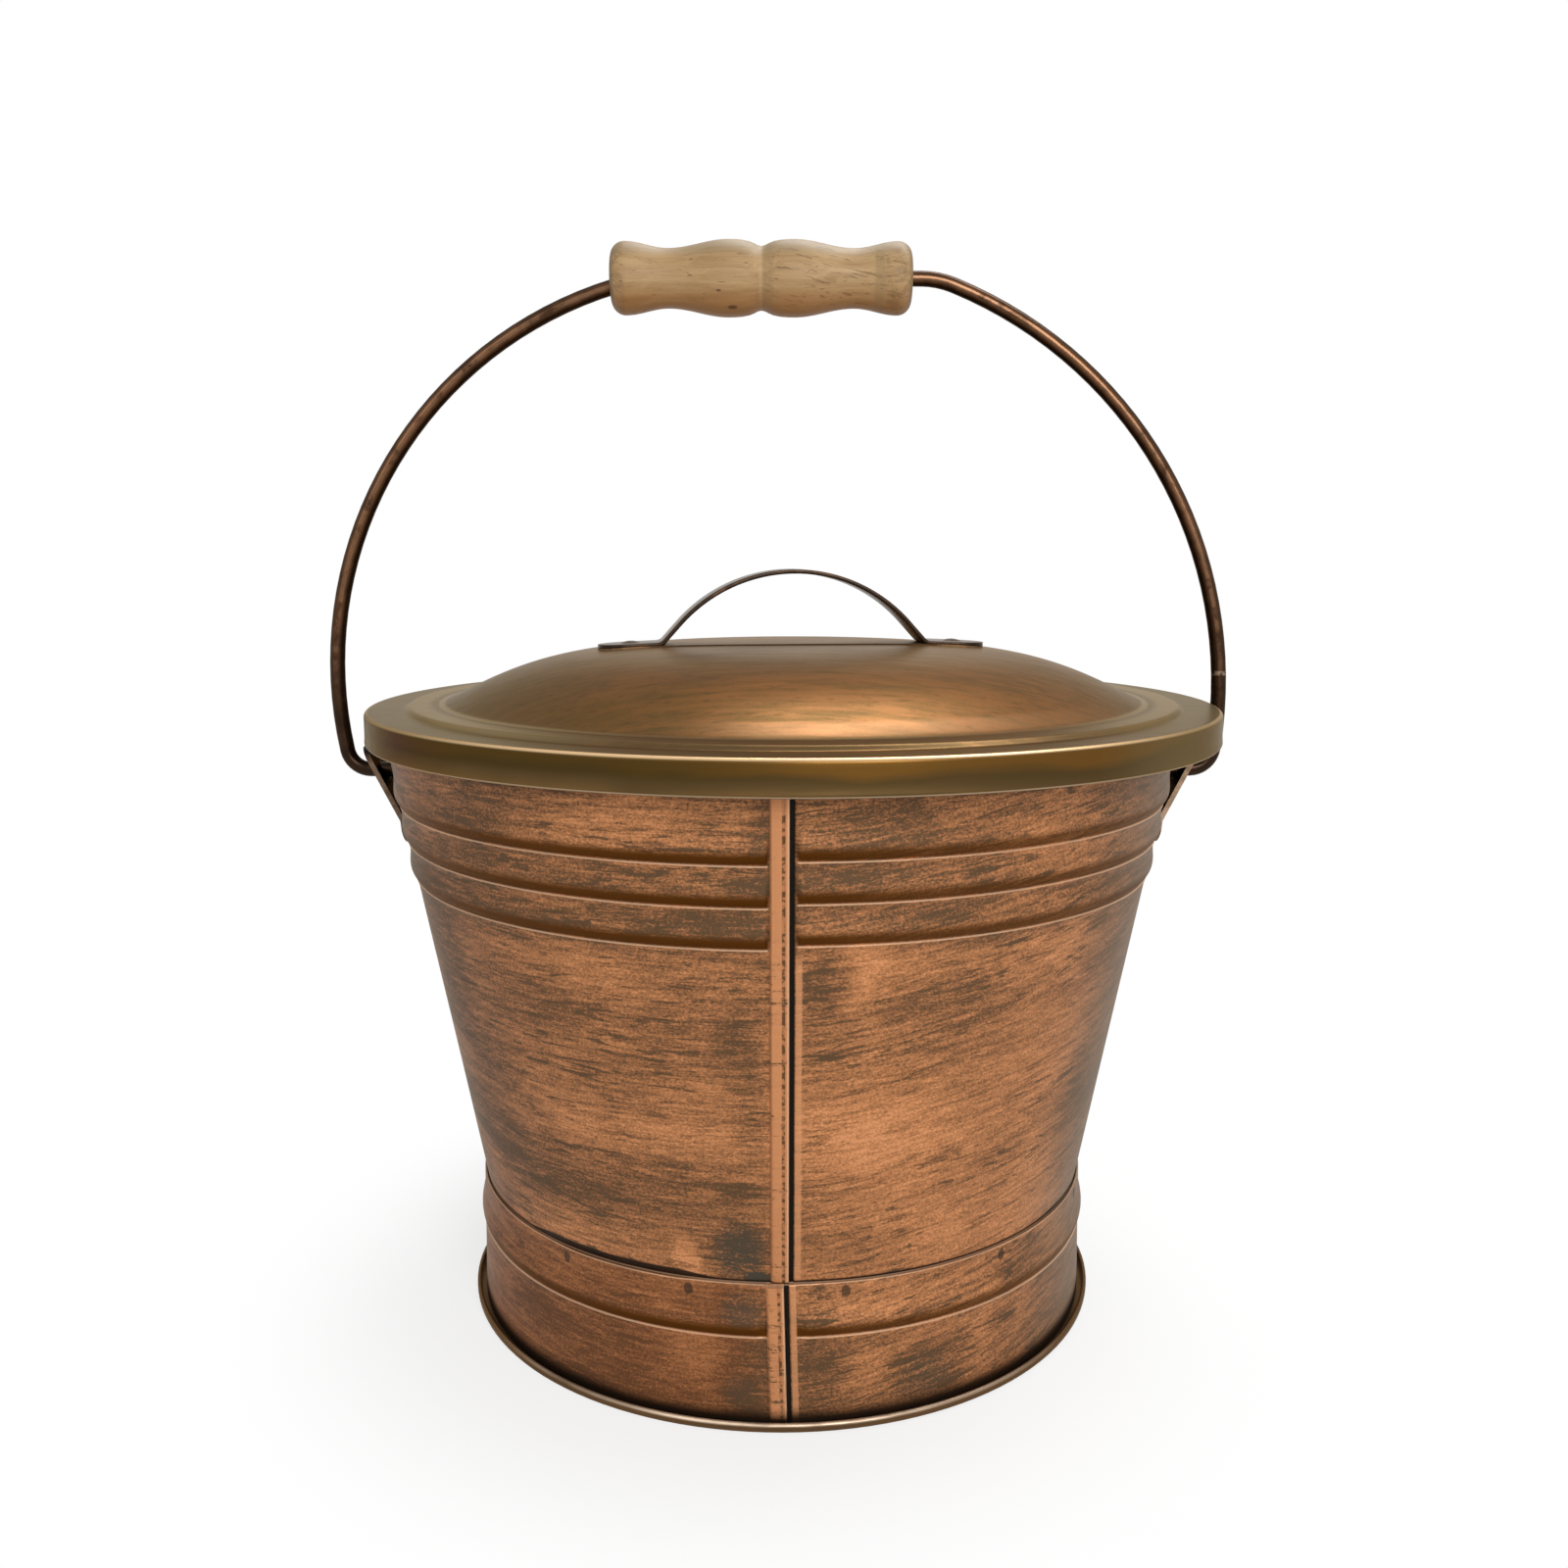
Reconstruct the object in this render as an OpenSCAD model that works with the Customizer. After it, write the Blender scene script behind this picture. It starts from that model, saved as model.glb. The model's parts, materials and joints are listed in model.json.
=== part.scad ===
// Lidded ash bucket of folded sheet metal with a wire bail and a turned wooden grip.
// Z is up, the origin is the middle of the face it stands on, and the lock seam faces -Y.

/* [Wall] */
// Height of the curled top edge above the ground
body_h = 226.3; // [200:0.1:260]
// Outer radius of the wall at the curled top edge
wall_top_r = 148; // [140:0.1:160]
// Outer radius of the wall at its bottom edge
wall_foot_r = 108.7; // [104:0.1:114]
// Height of the wall's bottom edge above the ground
wall_foot_z = 12; // [8:0.5:16]
// Thickness of the sheet of wall, band and floor
sheet_t = 0.7; // [0.5:0.05:0.9]
// Radius of the wire inside the curled top edge
rim_wire_r = 1.4; // [1.2:0.05:1.6]

/* [Swages] */
// Number of swages rolled into the wall
swages = 3; // [1:1:5]
// Distance of the top swage's crease below the top edge
swage_drop = 31.3; // [26:0.1:36]
// Distance from one crease to the next
swage_pitch = 13.25; // [12.5:0.05:16]
// Height of a swage from its start down to its crease
swage_len = 12; // [9:0.1:12.2]
// How far a swage stands out
swage_h = 1.4; // [0.8:0.1:1.6]
// How far the ledge under a crease stands out
ledge_h = 0.35; // [0.2:0.05:0.6]

/* [Lock seam] */
// Width of the folded strip
seam_w = 5.7; // [4.5:0.1:7]
// How far the strip stands out of the wall
seam_h = 1.8; // [1.6:0.1:2.2]
// Right-hand edge of the wall's strip, from the middle of the front
seam_x = 1.9; // [0:0.1:3]
// Right-hand edge of the band's strip, from the middle of the front
band_seam_x = 0.9; // [0:0.1:3]
// Width of the groove beside the strip
groove_w = 1.6; // [1:0.1:2.2]
// Depth of the groove beside the strip
groove_depth = 0.4; // [0.2:0.05:0.5]
// Flat left beside the strip, where the swages stop
seam_flat = 1.4; // [0.8:0.1:2]

/* [Base] */
// Height of the foot band's top edge
band_h = 50; // [42:0.5:58]
// How much wider the band is at its foot than at its top
band_spread = 0.8; // [0:0.1:2]
// Distance of the band's crease below its top edge
band_swage_drop = 18.1; // [15:0.1:24]
// How far the band's swage stands out
band_swage_h = 1.2; // [0.8:0.1:1.5]
// Width of the band's inward foot flange
band_flange_w = 7; // [4:0.5:9]
// Spot welds round the top of the band
welds = 12; // [6:1:16]
// Diameter of a spot weld's mark
weld_d = 3; // [2:0.1:4]
// Depth of a spot weld's mark
weld_depth = 0.25; // [0.1:0.05:0.35]
// Distance of the spot welds below the band's top edge
weld_drop = 4.2; // [3:0.1:5]
// Gap between the band and the lip of the base plate
lip_gap = 2.9; // [2:0.1:4]
// Height of the lip of the base plate
lip_h = 3.5; // [3:0.1:5]
// Height of the floor's top face
floor_z = 22; // [20:0.5:26]
// Height of the floor pan's flange
floor_flange = 8; // [6:0.5:9]

/* [Lid] */
// How far the lid's skirt reaches past the wall's top edge
lid_over = 10; // [9:0.1:14]
// Height of the lid's skirt
skirt_h = 11.5; // [9:0.1:14]
// Radius of the rolled edge at the bottom of the skirt
skirt_bead_r = 1.1; // [1:0.05:1.2]
// Radius of the bend between skirt and flange
lid_bend_r = 1.5; // [1:0.1:2.5]
// Width of the flat flange
flange_w = 12.5; // [11:0.1:13.5]
// Step from the flange up to the inner ring
ring_step = 1.6; // [1:0.1:2.5]
// Width of the inner ring round the dome
ring_w = 11.5; // [8:0.1:20]
// Rise of the dome over the inner ring
dome_h = 20; // [12:0.1:26]
// How far the lid lies to the right on the rim
lid_shift = 4.2; // [0:0.1:4.4]
// Turn of the lid, in degrees
lid_turn = 6; // [0:1:20]

/* [Lid handle] */
// Length of the strap handle over both feet
strap_len = 147; // [135:1:155]
// Length of each foot
strap_foot = 24; // [20:0.5:26]
// Width of the strap
strap_w = 19; // [14:0.5:24]
// Thickness of the strap
strap_t = 1.6; // [1.2:0.1:2.4]
// Thickness of the backing strip under the strap
backing_t = 0.5; // [0.4:0.05:0.8]
// Horizontal run of the arch's straight leg
leg_run = 7.1; // [4:0.1:10]
// Angle from the top of the arch to where its leg runs straight
arch_angle = 48; // [42:1:54]
// Radius of the bend from leg to foot
strap_bend_r = 5; // [3:0.5:7]

/* [Ears] */
// Distance of the bail's hinge line below the top edge
pivot_drop = 25.5; // [24:0.1:28]
// Length of an ear from the hinge line down to its bottom edge
ear_len = 26; // [24:0.5:28]
// Length of the riveted part of an ear
ear_tab = 9; // [8.5:0.5:11]
// Width of an ear at its bottom edge
ear_w = 34; // [28:0.5:40]
// Radius of an ear's round top
ear_top_r = 9; // [7.5:0.1:10]
// Thickness of an ear
ear_t = 1.8; // [1.5:0.1:2.4]
// Lean of the free part of an ear from upright, in degrees
ear_lean = 32; // [27:0.5:34]
// Diameter of the rivets' shanks
rivet_d = 4; // [3:0.1:5]
// Distance between the two rivets of an ear
rivet_gap = 18; // [15:0.5:20]

/* [Bail] */
// Diameter of the bail's wire
wire_d = 5.6; // [4:0.1:6]
// Gap between the lid's edge and the bail on the right
bail_gap = 1.9; // [1.6:0.1:6]
// How much farther the bail bows out on the left than on the right
bail_skew = 2; // [0:0.1:4]
// How far the straight lies to the right
bail_shift = 2.2; // [0:0.1:4]
// Length of the straight that carries the grip
bail_straight = 97.4; // [92:0.1:110]
// Radius of the bends beside the grip
shoulder_r = 33; // [20:1:50]
// Angle of the bend on the left of the grip
shoulder_left = 13.7; // [12:0.1:20]
// Angle of the bend on the right of the grip
shoulder_right = 21.3; // [16:0.1:24]
// How far the bow on the right curls past upright, in degrees
bow_curl = 6.5; // [5:0.1:9]
// Radius of the bend above an ear
foot_r = 9; // [7:0.5:12]
// Diameter of the upset head at each end of the wire
head_d = 8.4; // [8:0.1:9]
// Thickness of the upset head
head_t = 1.6; // [1:0.1:2]

/* [Grip] */
// Length of the grip
grip_len = 109.6; // [96:0.1:116]
// How far the grip has slid to the left
grip_slide = 7.4; // [0:0.1:9]
// Diameter of the grip's two swellings
swell_d = 27.2; // [24:0.1:32]
// Diameter of its two necks
neck_d = 21; // [18:0.1:24]
// Diameter of its ends
end_d = 25.8; // [22:0.1:30]
// Diameter in the middle groove
waist_d = 22.4; // [20:0.1:26]
// Distance of the swellings from the middle
swell_x = 12; // [9:0.1:15]
// Distance of the necks from the middle
neck_x = 34; // [28:0.1:37]
// Radius of the rounded corners at the ends
end_round = 5; // [3:0.1:6]
// Gap between the bent wire and the bore at the grip's left end
bore_play = 0.3; // [0.2:0.05:1]

/* [Fits] */
// Gap between the wall and the top of the foot band
band_fit = 0.35; // [0.1:0.05:0.6]
// Gap between two folded sheets
fold_fit = 0.05; // [0.02:0.01:0.1]
// Gap between the lid and the rim it lies on
seat_gap = 0.3; // [0.2:0.05:0.5]
// Gap round the bail's wire in the ears
ear_play = 0.6; // [0.3:0.05:1]
// Gap between an ear and the head of the wire
head_play = 0.4; // [0.3:0.05:1]
// Gap round a rivet in its holes
rivet_fit = 0.05; // [0.02:0.01:0.1]

/* [Hidden] */
$fn = 96;
// Reach of cutting shapes beyond what they cut
cut = 1;
// Reach of envelopes beyond the whole object
far = 400;

// Rim
rim_out_r = rim_wire_r + sheet_t;
rim_z = body_h - rim_out_r;
wall_lean = atan((wall_top_r - wall_foot_r) / (rim_z - wall_foot_z));
rim_x = wall_top_r + rim_wire_r / cos(wall_lean);
rim_edge = -70;
lid_r = wall_top_r + lid_over;

// Swages
swage_steps = 10;
swage_power = 1.9;
ledge_drop = 0.4;
ledge_fade = 3;
crease_tuck = 0.15;
rim_steps = 18;
wall_tail = 4;
first_crease_z = body_h - swage_drop;
last_crease_z = first_crease_z - (swages - 1) * swage_pitch;

// Wall seams
hem_gap = sheet_t + 2 * fold_fit;
hem_up = 4;
seam_back = 6;

// Base
band_top_r = wall_r(band_h) + sheet_t + band_fit;
band_foot_r = band_top_r + band_spread;
band_crease_z = band_h - band_swage_drop;
lip_r = band_foot_r + lip_gap + sheet_t;
lip_bend_r = 1.6;
lip_roll_r = 0.85;

// Lid
lid_z = body_h + seat_gap + sheet_t;
flange_in_r = lid_r - lid_bend_r - flange_w;
ring_slope = 1.5;
dome_r = flange_in_r - ring_slope - ring_w;
ring_z = lid_z + ring_step;
dome_steps = 44;
dome_fullness = 4.6;
dome_ease = 1.3;
bead_out = 0.2;
bead_lead = 1.6;
bead_x = lid_r + bead_out - skirt_bead_r;
bead_z = lid_z - skirt_h + skirt_bead_r;

// Lid handle
strap_sink = 0.5;
strap_half = strap_len / 2 - strap_foot;
arch_x = strap_half - leg_run;
arch_r = arch_x / sin(arch_angle);
strap_foot_z = dome_z(strap_half) + backing_t - strap_sink;
leg_drop = leg_run * tan(arch_angle);
arch_z = strap_foot_z + leg_drop - arch_r * cos(arch_angle);
arch_steps = 16;
bend_steps = 6;
foot_droop = 2.5;
bend_run = strap_bend_r * tan((arch_angle - foot_droop) / 2);
strap_rivet_x = strap_len / 2 - strap_foot / 2;

// Ears
pivot_z = body_h - pivot_drop;
ear_foot_z = pivot_z - ear_len;
ear_bend_z = ear_foot_z + ear_tab;
ear_seat = 1.3;
ear_foot_x = wall_r(ear_foot_z) + ear_seat;
ear_bend_x = ear_foot_x + ear_tab * tan(wall_lean);
ear_hole_r = wire_d / 2 + ear_play;
ear_in_x = ear_bend_x + (pivot_z - ear_bend_z) * tan(ear_lean);
ear_corner = 5;
rivet_z = ear_foot_z + ear_tab / 2 - 0.5;
rivet_x = ear_foot_x + (rivet_z - ear_foot_z) * tan(wall_lean);
rivet_head_r = rivet_d * 0.95;
rivet_head_h = rivet_d * 0.4;
buck_head_r = rivet_d * 0.8;
buck_head_h = 1.4;

// Bail
lid_edge_r = bead_x + skirt_bead_r;
reach_right = lid_edge_r + lid_shift + bail_gap + wire_d / 2;
half_right = reach_right - bail_shift;
half_left = reach_right + bail_skew + bail_shift;
bow_right = bow_radius(half_right, shoulder_right);
bow_left = bow_radius(half_left, shoulder_left);
bail_rise = shoulder_fall(shoulder_right) + bow_right * (cos(shoulder_right) + sin(bow_curl)) + foot_r * (1 - sin(bow_curl));
curl_left = asin((bail_rise - shoulder_fall(shoulder_left) - bow_left * cos(shoulder_left) - foot_r) / (bow_left - foot_r));
grip_z = pivot_z + bail_rise;
shoulder_end = bail_straight / 2 + shoulder_r * sin(shoulder_left);
grip_end = grip_len / 2 + grip_slide + bail_shift;
grip_end_turn = asin(sin(shoulder_left) + max(grip_end - shoulder_end, 0) / bow_left);
wire_fall = shoulder_fall(shoulder_left) + bow_left * (cos(shoulder_left) - cos(grip_end_turn));
bore_r = wire_fall + wire_d / 2 / cos(grip_end_turn) + bore_play;
head_x = ear_in_x - head_d / 2 * tan(ear_lean) - head_play;
joint_swell = 0.02;

// Outer radius of the plain wall at a height
function wall_r(z) = wall_foot_r + (wall_top_r - wall_foot_r) * (z - wall_foot_z) / (body_h - rim_wire_r - sheet_t - wall_foot_z);

// Fall of the bail along a bend beside the grip
function shoulder_fall(angle) = shoulder_r * (1 - cos(angle));

// Radius of the bail's bow that reaches a half-width past a bend beside the grip
function bow_radius(half, angle) = (half - bail_straight / 2 - shoulder_r * sin(angle)) / (1 - sin(angle));

// Runs of one half of the bail, from the straight to the head, each bend by its radius and angle
function bail_half(half, angle, bow, curl, shift) = [
    ["bend", shoulder_r, angle], ["bend", bow, 90 - angle + curl], ["bend", foot_r, 90 - curl],
    ["run", half + shift - bow * (1 - cos(curl)) - foot_r * cos(curl) - head_x + head_t / 2]];

// Height of the lid's outer face at a radius inside the dome's foot
function dome_z(r) = ring_z + dome_h * pow(1 - pow(r / dome_r, dome_fullness), dome_ease);

// Points of an arc round (x, z), from angle a to angle b
function arc(x, z, r, a, b, n) = [for (i = [0:n]) [x + r * cos(a + (b - a) * i / n), z + r * sin(a + (b - a) * i / n)]];

// Unit vector from p to q, and the unit vector to the right of a direction
function dir(p, q) = (q - p) / norm(q - p);
function right(v) = [v[1], -v[0]];

// Mitre of path p at point i: one sheet thickness to the right of both runs
function mitre(p, i) =
    let (n = len(p) - 1,
         u = right(dir(p[max(i - 1, 0)], p[max(i, 1)])),
         v = right(dir(p[min(i, n - 1)], p[min(i + 1, n)])),
         s = u + v)
    s / (s * u);

// Outline of a sheet of thickness t that lies to the right of path p
function sheet(p, t) = concat(p, [for (i = [len(p) - 1:-1:0]) p[i] + t * mitre(p, i)]);

// How far a swage stands out, from s = 0 at its start to s = 1 at its crease
function swage(s, h) = h * sin(180 * pow(s, swage_power));

// Points of one swage with its ledge, downwards to the crease at height z, on a wall of radius r0 + slope * z
function swage_points(z, len, h, r0, slope) = concat(
    [for (i = [0:swage_steps]) let (y = z + len * (1 - i / swage_steps))
        [r0 + slope * y + swage(i / swage_steps, h) - (i == swage_steps ? crease_tuck : 0), y]],
    [[r0 + slope * (z - ledge_drop) + ledge_h, z - ledge_drop]]);

// Outer face of the wall, from the curled edge down to the hem round the floor pan
wall_slope = tan(wall_lean);
wall_r0 = wall_r(0);
wall_path = concat(
    arc(rim_x, rim_z, rim_wire_r, rim_edge, 180 - wall_lean, rim_steps),
    [for (i = [0:swages - 1]) each swage_points(first_crease_z - i * swage_pitch, swage_len, swage_h, wall_r0, wall_slope)],
    [[wall_r(last_crease_z - ledge_fade), last_crease_z - ledge_fade]],
    [[wall_r(wall_foot_z), wall_foot_z]],
    [[wall_r(wall_foot_z) - hem_gap - 2 * sheet_t, wall_foot_z]],
    [[wall_r(wall_foot_z) - hem_gap - 2 * sheet_t + hem_up * wall_slope, wall_foot_z + hem_up]]);

// Outer face of the band, from its top edge down to its foot and in along its flange
band_slope = (band_top_r - band_foot_r) / band_h;
band_path = concat(
    [[band_top_r, band_h]],
    swage_points(band_crease_z, swage_len, band_swage_h, band_foot_r, band_slope),
    [[band_foot_r + band_slope * (band_crease_z - ledge_fade), band_crease_z - ledge_fade]],
    [[band_foot_r, sheet_t], [band_foot_r - band_flange_w, sheet_t]]);

// Outer face of the lid, from the middle of the dome to the rolled edge of the skirt
lid_path = concat(
    [for (i = [0:dome_steps]) let (r = dome_r * i / dome_steps) [r, dome_z(r)]],
    [[flange_in_r - ring_slope, ring_z], [flange_in_r, lid_z]],
    arc(lid_r - lid_bend_r, lid_z - lid_bend_r, lid_bend_r, 90, 0, 6),
    [[lid_r, bead_z + bead_lead]],
    arc(bead_x, bead_z, skirt_bead_r, 20, -170, 12));

// Upper face of the base plate's lip and lower face of the plate, from the lip's rolled edge inwards
plate_path = concat(
    arc(lip_r - lip_roll_r, lip_h - lip_roll_r, lip_roll_r, 140, 0, 8),
    arc(lip_r - lip_bend_r, lip_bend_r, lip_bend_r, 0, -90, 6),
    [[0, 0]]);

// Sheet-metal shell turned round the Z axis
module spun_sheet(p, t) {
    rotate_extrude() polygon([for (q = sheet(p, t)) [max(q[0], 0), q[1]]]);
}

// Cone frustum round the Z axis, from one offset to another of a cone of radius r0 + slope * z
module skin(r0, slope, z0, z1, inner, outer) {
    rotate_extrude()
        polygon([[r0 + slope * z0 + inner, z0], [r0 + slope * z0 + outer, z0],
                 [r0 + slope * z1 + outer, z1], [r0 + slope * z1 + inner, z1]]);
}
module wall_skin(z0, z1, inner, outer) skin(wall_r0, wall_slope, z0, z1, inner, outer);
module band_skin(z0, z1, inner, outer) skin(band_foot_r, band_slope, z0, z1, inner, outer);

// Slab of the front of the object, from x0 to x1
module front_slab(x0, x1) {
    translate([x0, -far, 0]) cube([x1 - x0, far, far]);
}

// Everything outside the wall's inner face
module beyond_wall() {
    rotate_extrude()
        polygon(concat([for (i = [len(wall_path) - wall_tail:-1:rim_steps]) wall_path[i] + sheet_t * mitre(wall_path, i)],
                       [[far, rim_z], [far, last_crease_z - ledge_fade]]));
}

// Everything inside the wall's outer face
module within_wall() {
    rotate_extrude()
        polygon(concat([[0, rim_z]], [for (i = [rim_steps:len(wall_path) - wall_tail]) wall_path[i]], [[0, last_crease_z - ledge_fade]]));
}

// Everything under the dome's outer face, raised by a rise
module under_dome(rise) {
    rotate_extrude() polygon(concat([for (i = [0:dome_steps]) lid_path[i] + [0, rise]], [[0, ring_z]]));
}

// Places its children on an ear's riveted face: Z points out of the wall
module on_ear(y) {
    translate([rivet_x, y, rivet_z]) rotate([0, 90 + wall_lean, 0]) children();
}

// Holes for the rivets of the ear on the right
module ear_rivet_holes() {
    for (y = [-rivet_gap / 2, rivet_gap / 2])
        on_ear(y) cylinder(h = 4 * ear_t, r = rivet_d / 2 + rivet_fit, center = true);
}

// Shallow rivet head: a spherical cap of radius r and height h
module cap(r, h) {
    ball = (r * r + h * h) / (2 * h);
    intersection() {
        translate([0, 0, h - ball]) sphere(r = ball);
        cylinder(h = h + cut, r = r);
    }
}

module body_shell() {
    left = seam_x - seam_w;
    right_end = seam_x + groove_w + seam_flat;
    groove_top = rim_z - rim_out_r;
    color("peru")
    difference() {
        union() {
            difference() {
                union() {
                    spun_sheet(wall_path, sheet_t);
                    intersection() {
                        wall_skin(floor_z + fold_fit, groove_top - 2 * seam_h, -2 * sheet_t, -fold_fit);
                        front_slab(-seam_back, seam_back);
                    }
                }
                intersection() {
                    wall_skin(last_crease_z - swage_len, first_crease_z + swage_len + cut, 2 * fold_fit, 2 * swage_h);
                    front_slab(left - seam_flat, right_end);
                }
                intersection() {
                    wall_skin(band_h, groove_top, -groove_depth, 2 * swage_h);
                    front_slab(seam_x, seam_x + groove_w);
                }
            }
            intersection() {
                wall_skin(band_h + band_fit, groove_top - seam_h, -sheet_t / 2, seam_h);
                front_slab(left, seam_x);
            }
        }
        ear_rivet_holes();
        mirror([1, 0, 0]) ear_rivet_holes();
    }
}

module rim_wire() {
    color("dimgray")
    rotate_extrude() translate([rim_x, rim_z]) circle(r = rim_wire_r - fold_fit, $fn = 48);
}

module floor_pan() {
    top_r = wall_r(floor_z) - sheet_t / cos(wall_lean) - fold_fit;
    foot_z = floor_z - floor_flange;
    foot_r = wall_r(foot_z) - sheet_t / cos(wall_lean) - fold_fit;
    color("rosybrown") spun_sheet([[0, floor_z], [top_r, floor_z], [foot_r, foot_z]], sheet_t);
}

module base_band() {
    left = band_seam_x - seam_w;
    right_end = band_seam_x + groove_w + seam_flat;
    swage_top = band_crease_z + swage_len;
    color("peru")
    difference() {
        union() {
            difference() {
                union() {
                    spun_sheet(band_path, sheet_t);
                    intersection() {
                        band_skin(band_crease_z - 2 * ledge_fade, swage_top + seam_h, -2 * sheet_t, -fold_fit);
                        front_slab(-seam_back, seam_back);
                    }
                }
                intersection() {
                    band_skin(band_crease_z - ledge_fade - cut, swage_top + cut, 2 * fold_fit, 2 * swage_h);
                    front_slab(left - seam_flat, right_end);
                }
                intersection() {
                    band_skin(lip_h, band_h + cut, -groove_depth, 2 * seam_h);
                    front_slab(band_seam_x, band_seam_x + groove_w);
                }
            }
            intersection() {
                band_skin(lip_h, band_h, -sheet_t / 2, seam_h);
                front_slab(left, band_seam_x);
            }
        }
        for (i = [0:welds - 1])
            rotate([0, 0, -90 + (i + 0.5) * 360 / welds])
                translate([band_top_r - weld_depth, 0, band_h - weld_drop])
                    rotate([0, 90, 0]) cylinder(h = 2 * weld_d, d = weld_d, $fn = 24);
    }
}

module base_plate() {
    color("sienna") spun_sheet(plate_path, sheet_t);
}

// Front outline of an ear: straight sides run from the rounded foot to the round top
module ear_outline() {
    half = ear_w / 2;
    rise = ear_len - ear_corner;
    d = norm([half, rise]);
    turn = -atan2(rise, half) + acos(ear_top_r / d);
    tangent = [ear_top_r * cos(turn), pivot_z + ear_top_r * sin(turn)];
    side = concat(arc(half - ear_corner, ear_foot_z + ear_corner, ear_corner, -90, 0, 6), [tangent]);
    union() {
        polygon(concat(side, [for (i = [len(side) - 1:-1:0]) [-side[i][0], side[i][1]]]));
        translate([0, pivot_z]) circle(r = ear_top_r);
    }
}

module ear() {
    top_z = pivot_z + ear_top_r + cut;
    top_x = ear_bend_x + (top_z - ear_bend_z) * tan(ear_lean);
    side = [[ear_foot_x - tan(wall_lean), ear_foot_z - 1], [ear_bend_x, ear_bend_z], [top_x, top_z]];
    color("saddlebrown")
    difference() {
        intersection() {
            rotate([90, 0, 0]) linear_extrude(height = ear_w + cut, center = true) polygon(sheet(side, ear_t));
            rotate([90, 0, 90]) linear_extrude(height = far) ear_outline();
        }
        within_wall();
        translate([0, 0, pivot_z]) rotate([0, 90, 0]) cylinder(h = far, r = ear_hole_r);
        ear_rivet_holes();
    }
}

module ear_rivets() {
    color("saddlebrown")
    for (y = [-rivet_gap / 2, rivet_gap / 2]) {
        on_ear(y) translate([0, 0, ear_t]) cap(rivet_head_r, rivet_head_h);
        on_ear(y) translate([0, 0, -2 * buck_head_h]) cylinder(h = 2 * buck_head_h + ear_t, r = rivet_d / 2);
        difference() {
            on_ear(y) translate([0, 0, -2 * buck_head_h]) cylinder(h = 2 * buck_head_h, r = buck_head_r);
            beyond_wall();
        }
    }
}

module ear_right() ear();
module ear_left() mirror([1, 0, 0]) ear();
module ear_rivets_right() ear_rivets();
module ear_rivets_left() mirror([1, 0, 0]) ear_rivets();

// One run of wire after another along X, each bend turning down: ["run", length] or ["bend", radius, angle]
module wire_runs(runs, i = 0) {
    if (i < len(runs)) {
        run = runs[i];
        if (i > 0) sphere(d = wire_d + 2 * joint_swell, $fn = 48);
        if (run[0] == "run") {
            rotate([0, 90, 0]) cylinder(h = run[1], d = wire_d, $fn = 48);
            translate([run[1], 0, 0]) wire_runs(runs, i + 1);
        } else {
            translate([0, 0, -run[1]]) rotate([90, 0, 0]) rotate([0, 0, 90 - run[2]])
                rotate_extrude(angle = run[2]) translate([run[1], 0]) circle(d = wire_d, $fn = 48);
            translate([0, 0, -run[1]]) rotate([0, run[2], 0]) translate([0, 0, run[1]]) wire_runs(runs, i + 1);
        }
    }
}

module bail_wire() {
    left = bail_half(half_left, shoulder_left, bow_left, curl_left, -bail_shift);
    right = bail_half(half_right, shoulder_right, bow_right, bow_curl, bail_shift);
    runs = concat([for (i = [len(left) - 1:-1:0]) left[i]], [["run", bail_straight]], right);
    color("saddlebrown") {
        translate([head_t / 2 - head_x, 0, pivot_z]) rotate([0, 180, 0]) wire_runs(runs);
        for (side = [0, 1]) mirror([side, 0, 0])
            translate([head_x - head_t, 0, pivot_z]) rotate([0, 90, 0]) cylinder(h = head_t, d = head_d);
    }
}

// Half the grip's outline, from the middle groove to the rounded end
function blend(a, b, t) = a + (b - a) * (1 - cos(180 * t)) / 2;
module grip() {
    half = grip_len / 2;
    end_x = half - end_round;
    steps = 8;
    profile = concat(
        [for (i = [0:steps]) [swell_x * i / steps, (waist_d + (swell_d - waist_d) * sin(90 * i / steps)) / 2]],
        [for (i = [1:steps]) [swell_x + (neck_x - swell_x) * i / steps, blend(swell_d, neck_d, i / steps) / 2]],
        [for (i = [1:steps]) [neck_x + (end_x - neck_x) * i / steps, blend(neck_d, end_d, i / steps) / 2]],
        [for (i = [1:steps]) [end_x + end_round * sin(90 * i / steps), end_d / 2 - end_round * (1 - cos(90 * i / steps))]]);
    mirrored = [for (i = [len(profile) - 1:-1:1]) [-profile[i][0], profile[i][1]]];
    outline = [for (p = concat(mirrored, profile)) [p[1], p[0]]];
    color("burlywood")
    translate([-grip_slide, 0, grip_z]) rotate([0, 90, 0])
    difference() {
        rotate_extrude() polygon(concat([[0, -half]], outline, [[0, half]]));
        cylinder(h = grip_len + cut, r = bore_r, center = true);
    }
}

// Places its children on the lid, which lies a little to the right and turned
module on_lid() {
    translate([lid_shift, 0, 0]) rotate([0, 0, lid_turn]) children();
}

module strap_rivet_holes() {
    for (x = [-strap_rivet_x, strap_rivet_x])
        translate([x, 0, 0]) cylinder(h = far, r = rivet_d / 2 + rivet_fit);
}

module lid() {
    color("darkgoldenrod")
    on_lid() difference() {
        spun_sheet(lid_path, sheet_t);
        strap_rivet_holes();
    }
}

// Everything within the strap's outline, seen from above
module strap_plan() {
    translate([-strap_half, -strap_w / 2, 0]) cube([2 * strap_half, strap_w, far]);
    for (side = [0, 1]) mirror([side, 0, 0]) {
        translate([strap_len / 2 - strap_w / 2, 0, 0]) cylinder(h = far, d = strap_w);
        translate([0, -strap_w / 2, 0]) cube([strap_len / 2 - strap_w / 2, strap_w, far]);
    }
}

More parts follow.
